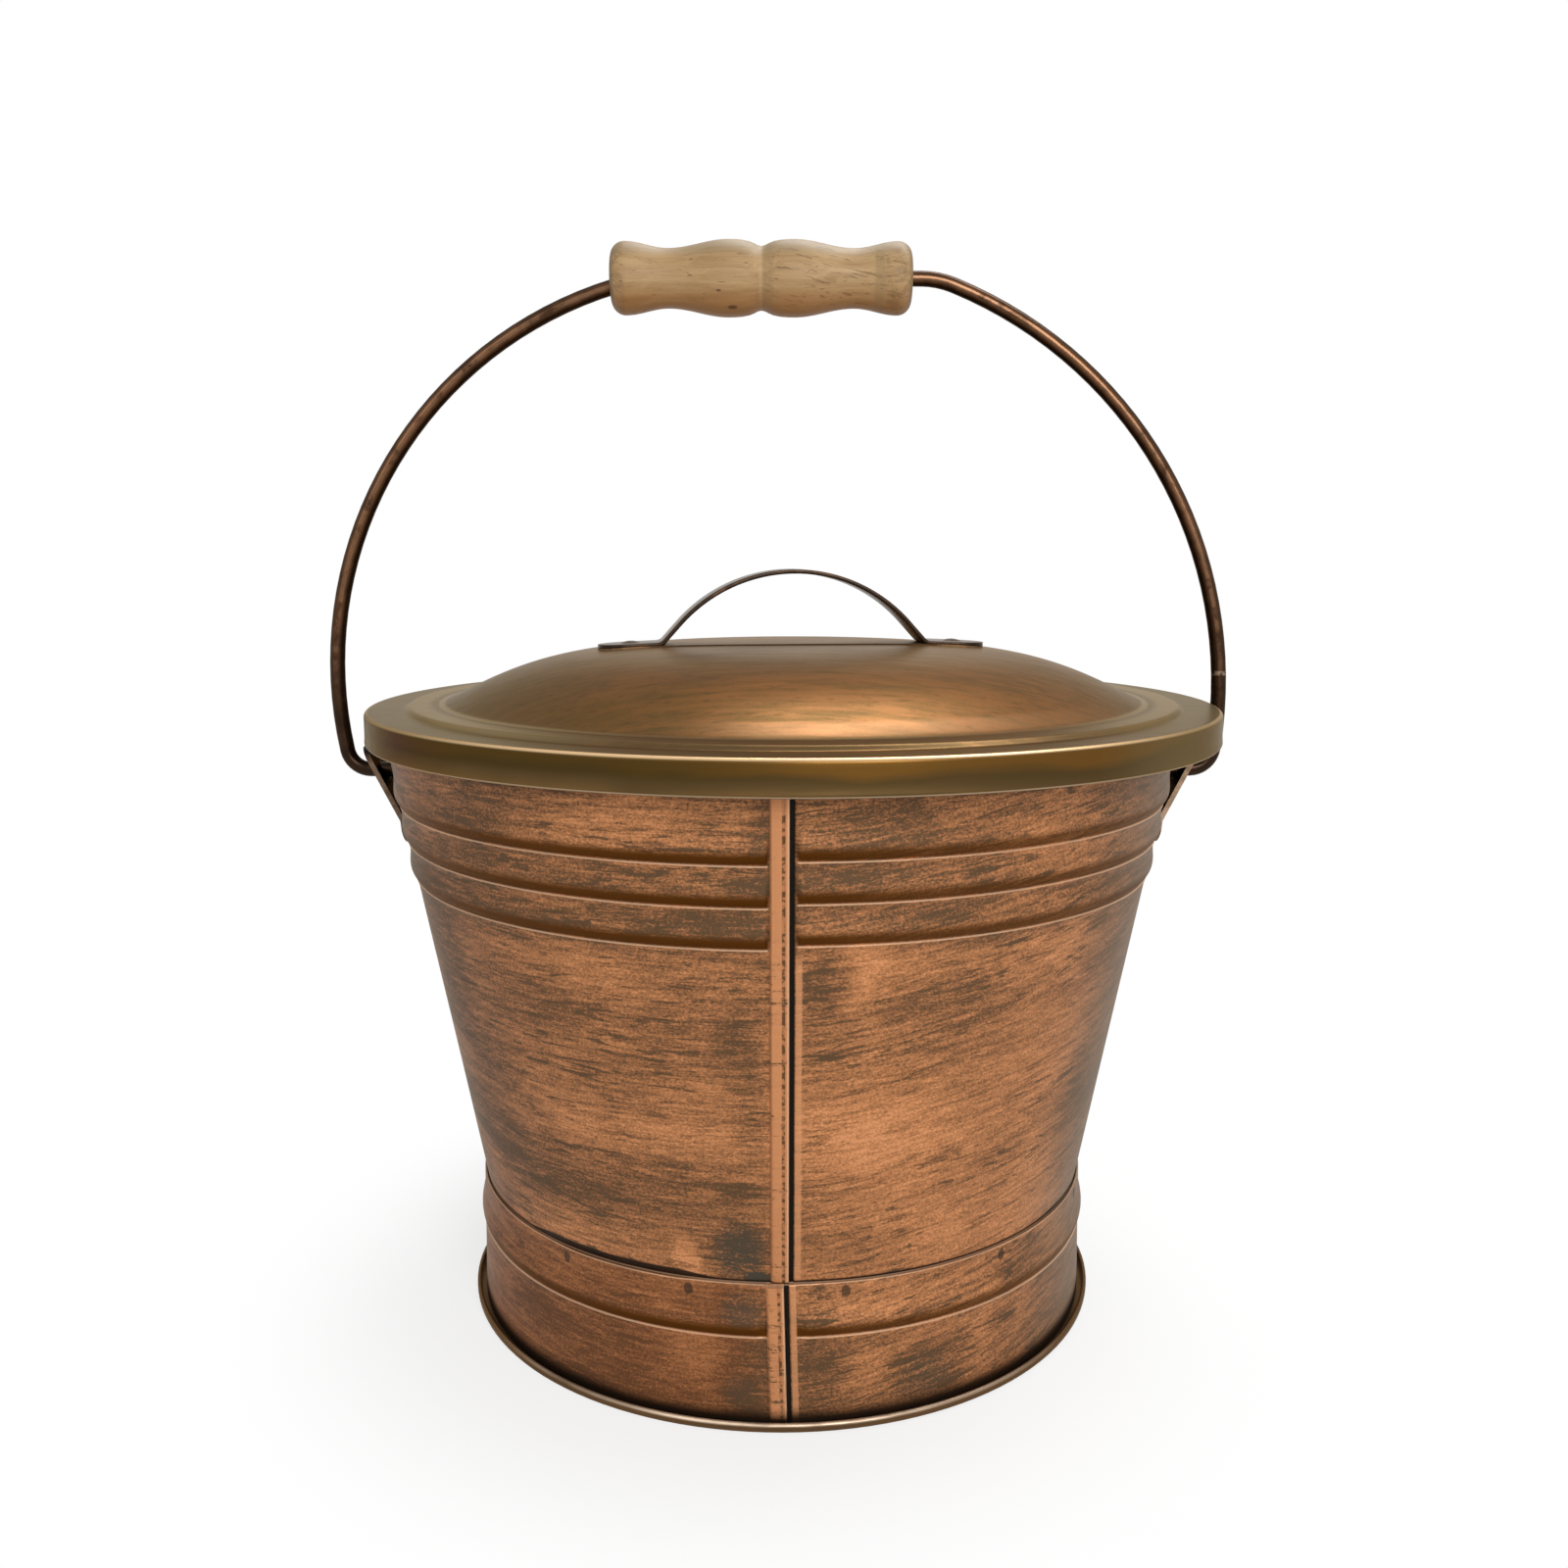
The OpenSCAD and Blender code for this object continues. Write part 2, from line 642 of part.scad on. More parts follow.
module lid_handle() {
    foot = [strap_len / 2, strap_foot_z - strap_foot * tan(foot_droop)];
    bend_x = strap_half + bend_run * cos(foot_droop) + strap_bend_r * sin(foot_droop);
    bend_z = strap_foot_z - bend_run * sin(foot_droop) + strap_bend_r * cos(foot_droop);
    right_side = concat(
        arc(0, arch_z, arch_r, 90, 90 - arch_angle, arch_steps),
        arc(bend_x, bend_z, strap_bend_r, 270 - arch_angle, 270 - foot_droop, bend_steps),
        [foot]);
    under = concat([for (i = [len(right_side) - 1:-1:1]) [-right_side[i][0], right_side[i][1]]], right_side);
    path = [for (i = [len(under) - 1:-1:0]) under[i]];
    color("saddlebrown")
    on_lid() difference() {
        intersection() {
            rotate([90, 0, 0]) linear_extrude(height = strap_w, center = true) polygon(sheet(path, strap_t));
            strap_plan();
        }
        under_dome(backing_t);
        strap_rivet_holes();
    }
}

module handle_backing() {
    color("tan")
    on_lid() difference() {
        intersection() {
            under_dome(backing_t);
            strap_plan();
        }
        under_dome(0);
        strap_rivet_holes();
    }
}

module lid_rivets() {
    top_z = strap_foot_z + strap_t / cos(foot_droop) - (strap_rivet_x - strap_half) * tan(foot_droop);
    buck_z = dome_z(strap_rivet_x + buck_head_r) - sheet_t - fold_fit;
    color("saddlebrown")
    on_lid() for (side = [0, 1]) mirror([side, 0, 0]) translate([strap_rivet_x, 0, 0]) {
        translate([0, 0, top_z]) rotate([0, foot_droop, 0]) cap(rivet_head_r, rivet_head_h / 2);
        translate([0, 0, buck_z]) cylinder(h = top_z - buck_z, d = rivet_d);
        translate([0, 0, buck_z - buck_head_h]) cylinder(h = buck_head_h, r = buck_head_r);
    }
}

body_shell();
rim_wire();
floor_pan();
base_band();
base_plate();
ear_left();
ear_right();
ear_rivets_left();
ear_rivets_right();
bail_wire();
grip();
lid();
lid_handle();
handle_backing();
lid_rivets();
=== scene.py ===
import json
import math

import bmesh
import bpy
import numpy as np
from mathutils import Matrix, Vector


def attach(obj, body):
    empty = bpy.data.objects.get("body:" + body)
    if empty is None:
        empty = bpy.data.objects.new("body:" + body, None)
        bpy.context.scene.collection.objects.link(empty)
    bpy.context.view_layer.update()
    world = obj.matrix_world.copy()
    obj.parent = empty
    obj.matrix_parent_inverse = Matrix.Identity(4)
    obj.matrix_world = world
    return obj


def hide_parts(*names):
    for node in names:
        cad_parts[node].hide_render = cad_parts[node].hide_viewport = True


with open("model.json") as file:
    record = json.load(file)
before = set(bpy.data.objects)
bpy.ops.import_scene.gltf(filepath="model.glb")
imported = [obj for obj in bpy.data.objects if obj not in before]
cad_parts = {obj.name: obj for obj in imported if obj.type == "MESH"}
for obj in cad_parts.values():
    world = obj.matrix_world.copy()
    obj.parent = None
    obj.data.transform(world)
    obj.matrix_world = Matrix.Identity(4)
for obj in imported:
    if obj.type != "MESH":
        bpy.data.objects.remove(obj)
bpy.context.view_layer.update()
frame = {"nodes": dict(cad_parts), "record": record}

nodes = frame["nodes"]

# Camera: fitted to the rings of lid, wall, band and base in the photograph
CAMERA_LENS, SENSOR_WIDTH = 33.44, 36
CAMERA_PLACE = (-0.0016, -0.5552, 0.2841)
CAMERA_PITCH, CAMERA_YAW = 9.132, 0.253
CAMERA_NEAR, CAMERA_FAR = 0.01, 100

# Lamps by name, place, target, size and power, then the fill light, the floor and its soft shadow in metres
MIDDLE = (0, 0, 0.16)
LAMPS = (("overhead", (0.32, 0.33, 1.25), (0.04, -0.1, 0.23), (0.95, 0.35), 11),
         ("front_left", (-0.9, -1.2, 0.9), MIDDLE, (0.8, 0.8), 3),
         ("front_right", (0.42, -1.5, 0.85), MIDDLE, (0.8, 0.8), 20))
WORLD_STRENGTH = 0.4
FLOOR_R, FLOOR_PALE = 6, (0.9, 0.9, 0.9)
SHADOW_END, SHADOW_START, SHADOW_SHARE = 0.22, 0.12, 0.28

# Sizes of the part in millimetres, as in the solids
MM = 0.001
SHEET = 0.7
WALL_R0, WALL_SLOPE = 106.4776, 0.185203
WALL_FOOT, WALL_TOP = 12, 224.2
HEM_H, HEM_LEAN, HEM_PLAY, HEM_GAP = 4, 0.74, 0.1, 0.01
RIM_WIRE, CURL_FROM, CURL_DROP, CURL_REACH = 1.4, -70, 0.6, 0.2
CREASES = (195, 181.75, 168.5)
SWAGE_LEN, SWAGE_H, SWAGE_POWER = 12, 1.4, 1.9
LEDGE_H, LEDGE_DROP, LEDGE_FADE = 0.35, 0.4, 3
CREASE_TUCK, TUCK_FROM = 0.15, 0.96
BAND_TOP, BAND_CREASE, BAND_SWAGE_H = 50, 31.9, 1.2
BAND_FOOT_R, BAND_SLOPE, BAND_FLANGE = 117.59, -0.016, 7
LID_SHIFT, LID_TURN = 4.2, math.radians(6)
LID_R, LID_Z, LID_EDGE_R, SKIRT_H, SKIRT_FLARE, BEAD_R = 158, 227.3, 1.5, 11.5, 0.18, 1.1
RING_Z, RING_EDGE, RING_FOOT, UNDER_SHIFT = 228.9, 141.6, 144.2, 0.02
DOME_R, DOME_H, DOME_FULL, DOME_EASE = 131, 20, 4.6, 1.3
STRAP_HALF, STRAP_FOOT, STRAP_THICK, STRAP_WIDTH, STRAP_EDGE_R = 73.5, 24, 1.6, 19, 0.5
STRAP_LEAN, STRAP_DROOP, STRAP_BEND_R, STRAP_LEG = math.radians(48), math.radians(2.5), 5, 7.1
GRIP_X, GRIP_Z, GRIP_HALF, GRIP_BORE_R = -7.4, 382.047, 54.8, 6.45
# Half of the grip as distance from its middle and diameter: the groove up to the swell, the waist, the end
GRIP_GROOVE = ((0, 22.4), (1.2, 22.9), (2.6, 24.3), (4.4, 25.7), (7, 26.7), (9.6, 27.08), (12, 27.17))
GRIP_WAIST, GRIP_END, GRIP_END_R = (34, 21), (49.8, 25.8), 5

# The seam: height of the strip, its groove and the pressed edge, by distance to the right of the seam line
STRIP = ((-4.3, 0), (-3.95, 0.25), (-3.75, 0.8), (-3.45, 1.35), (-3.0, 1.62), (-2.4, 1.7), (-0.5, 1.72),
         (-0.15, 1.6), (0.1, 1.52), (0.35, 1.62), (0.7, 1.78), (1.2, 1.8), (1.55, 1.68), (1.75, 1.4),
         (1.87, 0.9), (1.95, -0.35), (2.1, -0.4), (3.2, -0.4), (3.4, -0.3), (3.55, 0.02), (3.9, 0.16),
         (4.6, 0.2), (5.3, 0.14), (6.1, 0))
# Distances from the seam at which wall and band have columns of points
COLUMNS = np.array([-16, -13, -11, -9.5, -8.5, -7.5, -6.8, -6.2, -5.6, -5, -4.6, -4.3, -4.1, -3.95, -3.85,
                    -3.75, -3.6, -3.45, -3.2, -3, -2.4, -1.4, -0.5, -0.3, -0.15, 0, 0.1, 0.2, 0.35, 0.5,
                    0.7, 1.2, 1.4, 1.55, 1.65, 1.75, 1.82, 1.87, 1.95, 2.1, 2.6, 3.2, 3.3, 3.4, 3.48, 3.55,
                    3.7, 3.9, 4.2, 4.6, 5.3, 5.7, 6.1, 6.8, 7.5, 8.3, 9.2, 10.2, 11.5, 13, 16], float)
# Heights over a crease at which wall and band have rows: down the swage, close to its foot, and at the ledge
SWAGE_ROWS, FOOT_ROWS = (SWAGE_LEN, 2.4), (2, 0.4)
CREASE_ROWS = (0.15, 0, -0.15, -0.28, -0.4, -0.6, -1.2, -2, -LEDGE_FADE)
ROWS_CLEAR = LEDGE_FADE + 0.5
# Where the strip and the fold behind it start and end, as starts and ends of soft steps
STRIP_FOOT, STRIP_TOP, BAND_STRIP_FOOT = (BAND_TOP + 0.3, BAND_TOP + 1), (221.5, 219.5), (2.2, 3)
FOLD_SIDE, FOLD_FOOT, FOLD_TOP = (6.6, 6), (22, 23), (219, 217)
# How far the swages have gone down after one turn, and the soft steps between which they do so
SPIRAL, SPIRAL_RISE, SPIRAL_END = 1.25, (90, 160), (222, 208)
# Soft steps over which the swages run out to the left and to the right of the seam
WALL_RUN_OUT = ((-4.2, -5.4), (3.45, 5.4))
BAND_RUN_OUT = ((-5.6, -9), (4.5, 8))
NEAR_SEAM, LEFT_OF_SEAM, FAR_OFF = 20, -3, 99
# The band's strip lies this much to the left of the wall's at this height, and leans
BAND_SEAM_SHIFT, BAND_SEAM_LEAN, BAND_SEAM_Z = 1, 0.6 / 25, 25
# The band's top edge stands off the wall to the left of the seam, and a little at the seam: how far, the
# heights between which it bends out, the degrees between which it does so, and the half-width at the seam
FLARE, FLARE_RISE, FLARE_LEFT, FLARE_RIGHT = 0.55, (41, BAND_TOP), (316, 324), (347, 342)
SEAM_FLARE, SEAM_FLARE_RISE, SEAM_FLARE_HALF = 0.35, (45, BAND_TOP), 12
# Spot-weld marks of the band: degrees from the front, height, depth, and the band's length per degree
BAND_MARKS = (-38.8, -15.3, 10.1, 39.7, 69, 99, 129, 159, 189, 219, 249, 279)
MARK_Z, MARK_DEPTH, DEGREE_LENGTH = 46.7, 0.22, 2.04
# Half-width and half-height of a mark's dent and stain, and the rows of points for the dents
DENT_SIZE, STAIN_SIZE = (1.9, 2.5), (1.7, 2.3)
MARK_ROWS = np.arange(48.6, 43.2, -0.45)


# Meshes

def make_piece(name, points, body, slot, *replaced, around=True, sharp=50):
    """A piece from a grid of points in millimetres: closed rows, round the object or from end to end."""
    rows, length, _ = points.shape
    i, j = np.meshgrid(np.arange(rows if around else rows - 1), np.arange(length), indexing="ij")
    corners = [((i + a) % rows) * length + (j + b) % length for a, b in ((0, 0), (1, 0), (1, 1), (0, 1))]
    faces = np.stack(corners, -1).reshape(-1, 4)
    mesh = bpy.data.meshes.new(name)
    mesh.from_pydata((points.reshape(-1, 3) * MM).tolist(), [], faces.tolist())
    clean = bmesh.new()
    clean.from_mesh(mesh)
    bmesh.ops.remove_doubles(clean, verts=clean.verts, dist=1e-7)
    if not around:
        bmesh.ops.holes_fill(clean, edges=[e for e in clean.edges if e.is_boundary])
    bmesh.ops.recalc_face_normals(clean, faces=clean.faces)
    clean.to_mesh(mesh)
    clean.free()
    mesh.shade_smooth()
    mesh.set_sharp_from_angle(angle=math.radians(sharp))
    piece = bpy.data.objects.new(name, mesh)
    bpy.context.scene.collection.objects.link(piece)
    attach(piece, body)
    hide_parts(*replaced)
    mesh.materials.append(FINISHES[slot])


def arc(x, z, r, start, end, steps):
    """Points of an outline on an arc, between two angles in degrees."""
    turn = np.radians(np.linspace(start, end, steps + 1))
    return [(x + r * math.cos(t), z + r * math.sin(t)) for t in turn]


def ease(value, start, end):
    """0 before start, 1 beyond end and a soft step between."""
    t = np.clip((value - start) / (end - start), 0, 1)
    return t * t * (3 - 2 * t)


def place(angle, radius, z):
    """Points by their angle from the front, radius and height."""
    return np.stack([radius * np.sin(angle), -radius * np.cos(angle), np.broadcast_to(z, angle.shape)], -1)


def full_turn(steps, outline):
    """Angles of evenly spaced copies of an outline round an axis."""
    return np.linspace(0, 2 * math.pi, steps, endpoint=False)[:, None] + np.zeros(len(outline))


def swage(z, creases, height):
    """How far the swages and their ledges stand out at a height, as in the solids."""
    out = np.zeros_like(z)
    for crease in creases:
        s = (crease + SWAGE_LEN - z) / SWAGE_LEN
        bulge = height * np.sin(math.pi * np.clip(s, 0, 1) ** SWAGE_POWER)
        bulge = bulge - CREASE_TUCK * ease(s, TUCK_FROM, 1)
        ledge = LEDGE_H * ease(z, crease - LEDGE_FADE, crease - LEDGE_DROP)
        drop = ease(z, crease - LEDGE_DROP, crease)
        here = np.where(z > crease, bulge, ledge * (1 - drop) - CREASE_TUCK * drop)
        out = np.where((z < crease + SWAGE_LEN) & (z > crease - LEDGE_FADE), here, out)
    return out


def swage_share(x, run_out):
    """How much of a swage is left at a distance from the seam, where it runs out."""
    left, right = run_out
    return np.where(x < 0, ease(x, *left), ease(x, *right))


def heights(top, bottom, creases, coarse, fine):
    """Heights for a wall's rows: this far apart between the swages, and this many down each swage."""
    rows = list(np.arange(top, bottom, -coarse)) + [bottom]
    for crease in creases:
        rows = [z for z in rows if not crease - ROWS_CLEAR < z < crease + SWAGE_LEN]
        rows += list(crease + np.linspace(*SWAGE_ROWS, fine))
        rows += list(crease + np.linspace(*FOOT_ROWS, fine // 2))
        rows += [crease + step for step in CREASE_ROWS]
    return np.array(sorted(set(np.round(rows, 4)), reverse=True))


def seam_columns(radius, others):
    """Angles of the columns from the front: at fixed distances from the seam, then evenly behind."""
    edge = np.arcsin(COLUMNS[-1] / radius)
    front = np.arcsin(COLUMNS[:, None] / radius[None, :])
    share = (np.arange(1, others + 1) / (others + 1))[:, None]
    return np.concatenate([front, edge + (2 * math.pi - 2 * edge) * share])


def beside_seam(radius, angle):
    """Distance to the right of the seam, on the front half only."""
    return np.where(np.cos(angle) > 0, radius * np.sin(angle), FAR_OFF)


def seam_relief(x):
    """Height of the strip, its groove and the pressed edge at a distance from the seam."""
    return np.interp(x, *np.transpose(STRIP))


def wall_radius(z):
    return WALL_R0 + WALL_SLOPE * z


def make_wall():
    """The wall's sheet: outside with strip and swages, hem, inside and the edge curled over a wire."""
    lean = math.atan(WALL_SLOPE)
    skin = SHEET / math.cos(lean)
    rim_x = wall_radius(WALL_TOP) + RIM_WIRE / math.cos(lean)
    curl_end = 180 - math.degrees(lean)
    curl = arc(rim_x, WALL_TOP, RIM_WIRE, CURL_FROM, curl_end, 14)
    back = arc(rim_x, WALL_TOP, RIM_WIRE + SHEET, curl_end, CURL_FROM, 16)
    floor_z = WALL_FOOT + SHEET
    outer = heights(WALL_TOP - CURL_DROP, WALL_FOOT, CREASES, coarse=4, fine=14)
    inner = heights(WALL_TOP - CURL_DROP, floor_z, CREASES, coarse=12, fine=4)[::-1]
    hem_x = wall_radius(WALL_FOOT) - 3 * SHEET - HEM_PLAY
    hem_top = WALL_FOOT + HEM_H
    hem = [(hem_x, WALL_FOOT), (hem_x + HEM_LEAN, hem_top), (hem_x + SHEET + HEM_LEAN, hem_top),
           (hem_x + SHEET, floor_z), (wall_radius(floor_z) - skin - HEM_GAP, floor_z)]
    outline = curl + [(wall_radius(z), z) for z in outer] + hem
    outline = np.array(outline + [(wall_radius(z) - skin, z) for z in inner[1:]] + back)
    reach, level = outline.T
    index = np.arange(len(outline))
    foot = len(curl) + len(outer)
    outside = (index >= len(curl)) & (index < foot)
    inside = index >= foot + len(hem)
    sheet = outside | (inside & (level < WALL_TOP) & (reach < rim_x - RIM_WIRE - SHEET + CURL_REACH))
    angle = seam_columns(reach, others=330)
    x = beside_seam(reach, angle)
    pressed = np.where(sheet, swage(level, CREASES, SWAGE_H), 0) * swage_share(x, WALL_RUN_OUT)
    strip = np.where(outside, seam_relief(x) * ease(level, *STRIP_FOOT) * ease(level, *STRIP_TOP), 0)
    fold = SHEET * ease(np.abs(x), *FOLD_SIDE) * ease(level, *FOLD_FOOT) * ease(level, *FOLD_TOP)
    radius = reach + pressed + strip - np.where(inside & sheet, fold, 0)
    turn = np.where(np.abs(x) < NEAR_SEAM, x < LEFT_OF_SEAM, angle / (2 * math.pi))
    sink = SPIRAL * turn * ease(level, *SPIRAL_RISE) * ease(level, *SPIRAL_END)
    make_piece("wall", place(angle, radius, level - sink), "bucket", "wall_copper", "body_shell")


def band_radius(z):
    return BAND_FOOT_R + BAND_SLOPE * z


def make_band():
    """The foot band's sheet: strip, one swage, spot-weld dents, flared top and a flange turned in below."""
    outer = heights(BAND_TOP - 0.35, SHEET + 0.35, (BAND_CREASE,), coarse=3, fine=12)
    outer = np.array(sorted(set(np.round(np.concatenate([outer, MARK_ROWS]), 3)), reverse=True))
    inner = heights(BAND_TOP - 0.3, 3 * SHEET, (BAND_CREASE,), coarse=8, fine=4)[::-1]
    top_r = band_radius(BAND_TOP)
    lip = [(top_r - SHEET, BAND_TOP - 0.12), (top_r - SHEET + 0.14, BAND_TOP), (top_r - 0.25, BAND_TOP),
           (top_r - 0.06, BAND_TOP - 0.1)]
    foot = [(0.1, SHEET + 0.1), (0.4, SHEET), (BAND_FLANGE, SHEET), (BAND_FLANGE, 2 * SHEET),
            (1.2, 2 * SHEET)]
    outline = lip + [(band_radius(z), z) for z in outer] + [(BAND_FOOT_R - inward, z) for inward, z in foot]
    outline = np.array(outline + [(band_radius(z) - SHEET, z) for z in inner])
    reach, level = outline.T
    index = np.arange(len(outline))
    outside = (index >= len(lip)) & (index < len(lip) + len(outer))
    sheet = outside | (index >= len(lip) + len(outer) + len(foot))
    angle = seam_columns(reach, others=560)
    degrees = np.degrees(angle)
    x = beside_seam(reach, angle)
    pressed = np.where(sheet, swage(level, (BAND_CREASE,), BAND_SWAGE_H), 0) * swage_share(x, BAND_RUN_OUT)
    shift = BAND_SEAM_SHIFT + BAND_SEAM_LEAN * (level - BAND_SEAM_Z)
    strip = np.where(outside, seam_relief(x + shift) * ease(level, *BAND_STRIP_FOOT), 0)
    flare = FLARE * ease(level, *FLARE_RISE) * ease(degrees, *FLARE_LEFT) * ease(degrees, *FLARE_RIGHT)
    flare += SEAM_FLARE * ease(level, *SEAM_FLARE_RISE) * np.clip(1 - np.abs(x) / SEAM_FLARE_HALF, 0, 1)
    dents = np.zeros_like(angle)
    wide, high = DENT_SIZE
    for mark in BAND_MARKS:
        along = (degrees - mark + 180) % 360 - 180
        dents += ease(np.hypot(along * DEGREE_LENGTH / wide, (level - MARK_Z) / high), 1, 0.55)
    radius = reach + pressed + strip + flare - np.where(outside, MARK_DEPTH * dents, 0)
    make_piece("foot_band", place(angle, radius, level), "bucket", "wall_copper", "base_band")


def dome_height(r):
    return RING_Z + DOME_H * (1 - (np.clip(r, 0, DOME_R) / DOME_R) ** DOME_FULL) ** DOME_EASE


def on_lid(x, y, z):
    """Points of a piece that is shifted and turned with the lid."""
    cos, sin = math.cos(LID_TURN), math.sin(LID_TURN)
    return np.stack([LID_SHIFT + x * cos - y * sin, x * sin + y * cos, np.broadcast_to(z, x.shape)], -1)


def make_lid():
    """The cover: dome, ring, flange, rolled edge, skirt and bead, then the same sheet's inside."""
    radii = [*np.linspace(0, 70, 18), *np.linspace(73, 118, 24), *np.linspace(119.5, DOME_R, 16)]
    fall = np.linspace(RING_EDGE, RING_FOOT, 9)
    top = [(r, float(dome_height(r))) for r in radii] + [(r, RING_Z) for r in (133, 137, 140.5)]
    top += [(r, LID_Z + (RING_Z - LID_Z) * float(ease(r, RING_FOOT, RING_EDGE))) for r in fall]
    top += [(r, LID_Z) for r in (146, 151, 155)]
    edge = (LID_R - LID_EDGE_R, LID_Z - LID_EDGE_R)
    skirt = [(LID_R + out, LID_Z - down)
             for out, down in ((0, 3), (0, 5.5), (0, 7.5), (0.03, 8.6), (0.1, 9.6))]
    bead = (LID_R + SKIRT_FLARE - BEAD_R, LID_Z - SKIRT_H + BEAD_R)
    outside = top + arc(*edge, LID_EDGE_R, 90, 0, 8) + skirt + arc(*bead, BEAD_R, 10, -170, 14)
    inside = [(max(r - UNDER_SHIFT, 0), z - SHEET) for r, z in top[::2]]
    inside += arc(*edge, LID_EDGE_R - SHEET, 90, 0, 4) + [(LID_R - SHEET, LID_Z - down) for down in (4, 9.3)]
    inside += arc(*bead, BEAD_R - SHEET, 20, -170, 6)
    outline = np.array(outside + inside[::-1])
    outline[-1, 0] = 0
    reach, level = outline.T
    angle = full_turn(288, outline)
    points = on_lid(reach * np.cos(angle), reach * np.sin(angle), level)
    make_piece("lid_cover", points, "cover", "lid_bronze", "lid")


def make_strap():
    """The lid's handle: a strap bent over an arch, with rounded ends and edges."""
    half_width, half_thick, edge = STRAP_WIDTH / 2, STRAP_THICK / 2, STRAP_EDGE_R
    corner = np.array([STRAP_HALF - STRAP_FOOT, float(dome_height(STRAP_HALF - STRAP_FOOT))])
    arch_r = (corner[0] - STRAP_LEG) / math.sin(STRAP_LEAN)
    arch_z = corner[1] + STRAP_LEG * math.tan(STRAP_LEAN) - arch_r * math.cos(STRAP_LEAN)
    down_foot = np.array([math.cos(STRAP_DROOP), -math.sin(STRAP_DROOP)])
    over_foot = np.array([math.sin(STRAP_DROOP), math.cos(STRAP_DROOP)])
    run = STRAP_BEND_R * math.tan((STRAP_LEAN - STRAP_DROOP) / 2)
    bend = corner + run * down_foot + STRAP_BEND_R * over_foot
    lean, droop = math.degrees(STRAP_LEAN), math.degrees(STRAP_DROOP)
    side = arc(0, arch_z, arch_r + half_thick, 90, 90 - lean, 30)[1:]
    side += arc(*bend, STRAP_BEND_R - half_thick, 270 - lean, 270 - droop, 10)
    start = np.array(side[-1])
    end = corner + STRAP_FOOT / math.cos(STRAP_DROOP) * down_foot + half_thick * over_foot
    side += [tuple(start + (end - start) * s) for s in np.sin(np.linspace(0.08, 0.5, 16) * math.pi)]
    line = np.array([(-x, z) for x, z in side[::-1]] + [(0, arch_z + arch_r + half_thick)] + side)
    along = np.gradient(line, axis=0)
    along /= np.linalg.norm(along, axis=1)[:, None]
    up = np.stack([-along[:, 1], along[:, 0]], -1)
    into_end = np.clip(np.abs(line[:, 0]) - (STRAP_HALF - half_width), 0, half_width - 0.02)
    across = np.sqrt(half_width ** 2 - into_end ** 2)
    side_edge = np.minimum(edge, across * 0.9)
    ring = []
    for cx, cz, a, b in ((1, 1, 0, 90), (-1, 1, 90, 180), (-1, -1, 180, 270), (1, -1, 270, 360)):
        for q in np.radians(np.linspace(a, b, 5)):
            ring.append((cx * (across - side_edge) + side_edge * math.cos(q),
                         cz * (half_thick - edge) + edge * math.sin(q)))
    y = np.stack([sideways for sideways, _ in ring], 1)
    lift = np.array([raised for _, raised in ring])
    x = line[:, :1] + up[:, :1] * lift
    z = line[:, 1:] + up[:, 1:] * lift
    make_piece("strap", on_lid(x, y, z), "cover", "dark_bronze", "lid_handle", around=False, sharp=35)


def soft_slope(start, end, shares):
    """Points of an outline from start to end, level at both."""
    (x0, y0), (x1, y1) = start, end
    return [(x0 + (x1 - x0) * s, y0 + (y1 - y0) * (1 - math.cos(math.pi * s)) / 2) for s in shares]


def make_grip():
    """The turned grip: groove, two swells, two waists, rounded ends and a bore with a chamfer."""
    profile = list(GRIP_GROOVE) + soft_slope(GRIP_GROOVE[-1], GRIP_WAIST, np.linspace(0.06, 1, 18))
    profile += soft_slope(GRIP_WAIST, GRIP_END, np.linspace(0.08, 1, 12))
    end_x, end_d = GRIP_END
    profile += [(end_x + GRIP_END_R * math.sin(a), end_d - 2 * GRIP_END_R * (1 - math.cos(a)))
                for a in np.linspace(0.12, math.pi / 2, 10)]
    chamfer = [(GRIP_HALF - inward, GRIP_BORE_R + out) for inward, out in ((0, 1.2), (0.25, 0.45), (0.9, 0))]
    right = [(x, diameter / 2) for x, diameter in profile] + chamfer
    bore = [(x, GRIP_BORE_R) for x in np.linspace(GRIP_HALF - 8, 8 - GRIP_HALF, 9)]
    outline = np.array([(-x, r) for x, r in right[:0:-1]] + right + bore)
    x, radius = outline.T
    angle = full_turn(96, outline)
    along = np.broadcast_to(GRIP_X + x, angle.shape)
    points = np.stack([along, radius * np.cos(angle), GRIP_Z + radius * np.sin(angle)], -1)
    make_piece("turned_grip", points, "bail_grip", "pale_wood", "grip", sharp=60)


# Materials

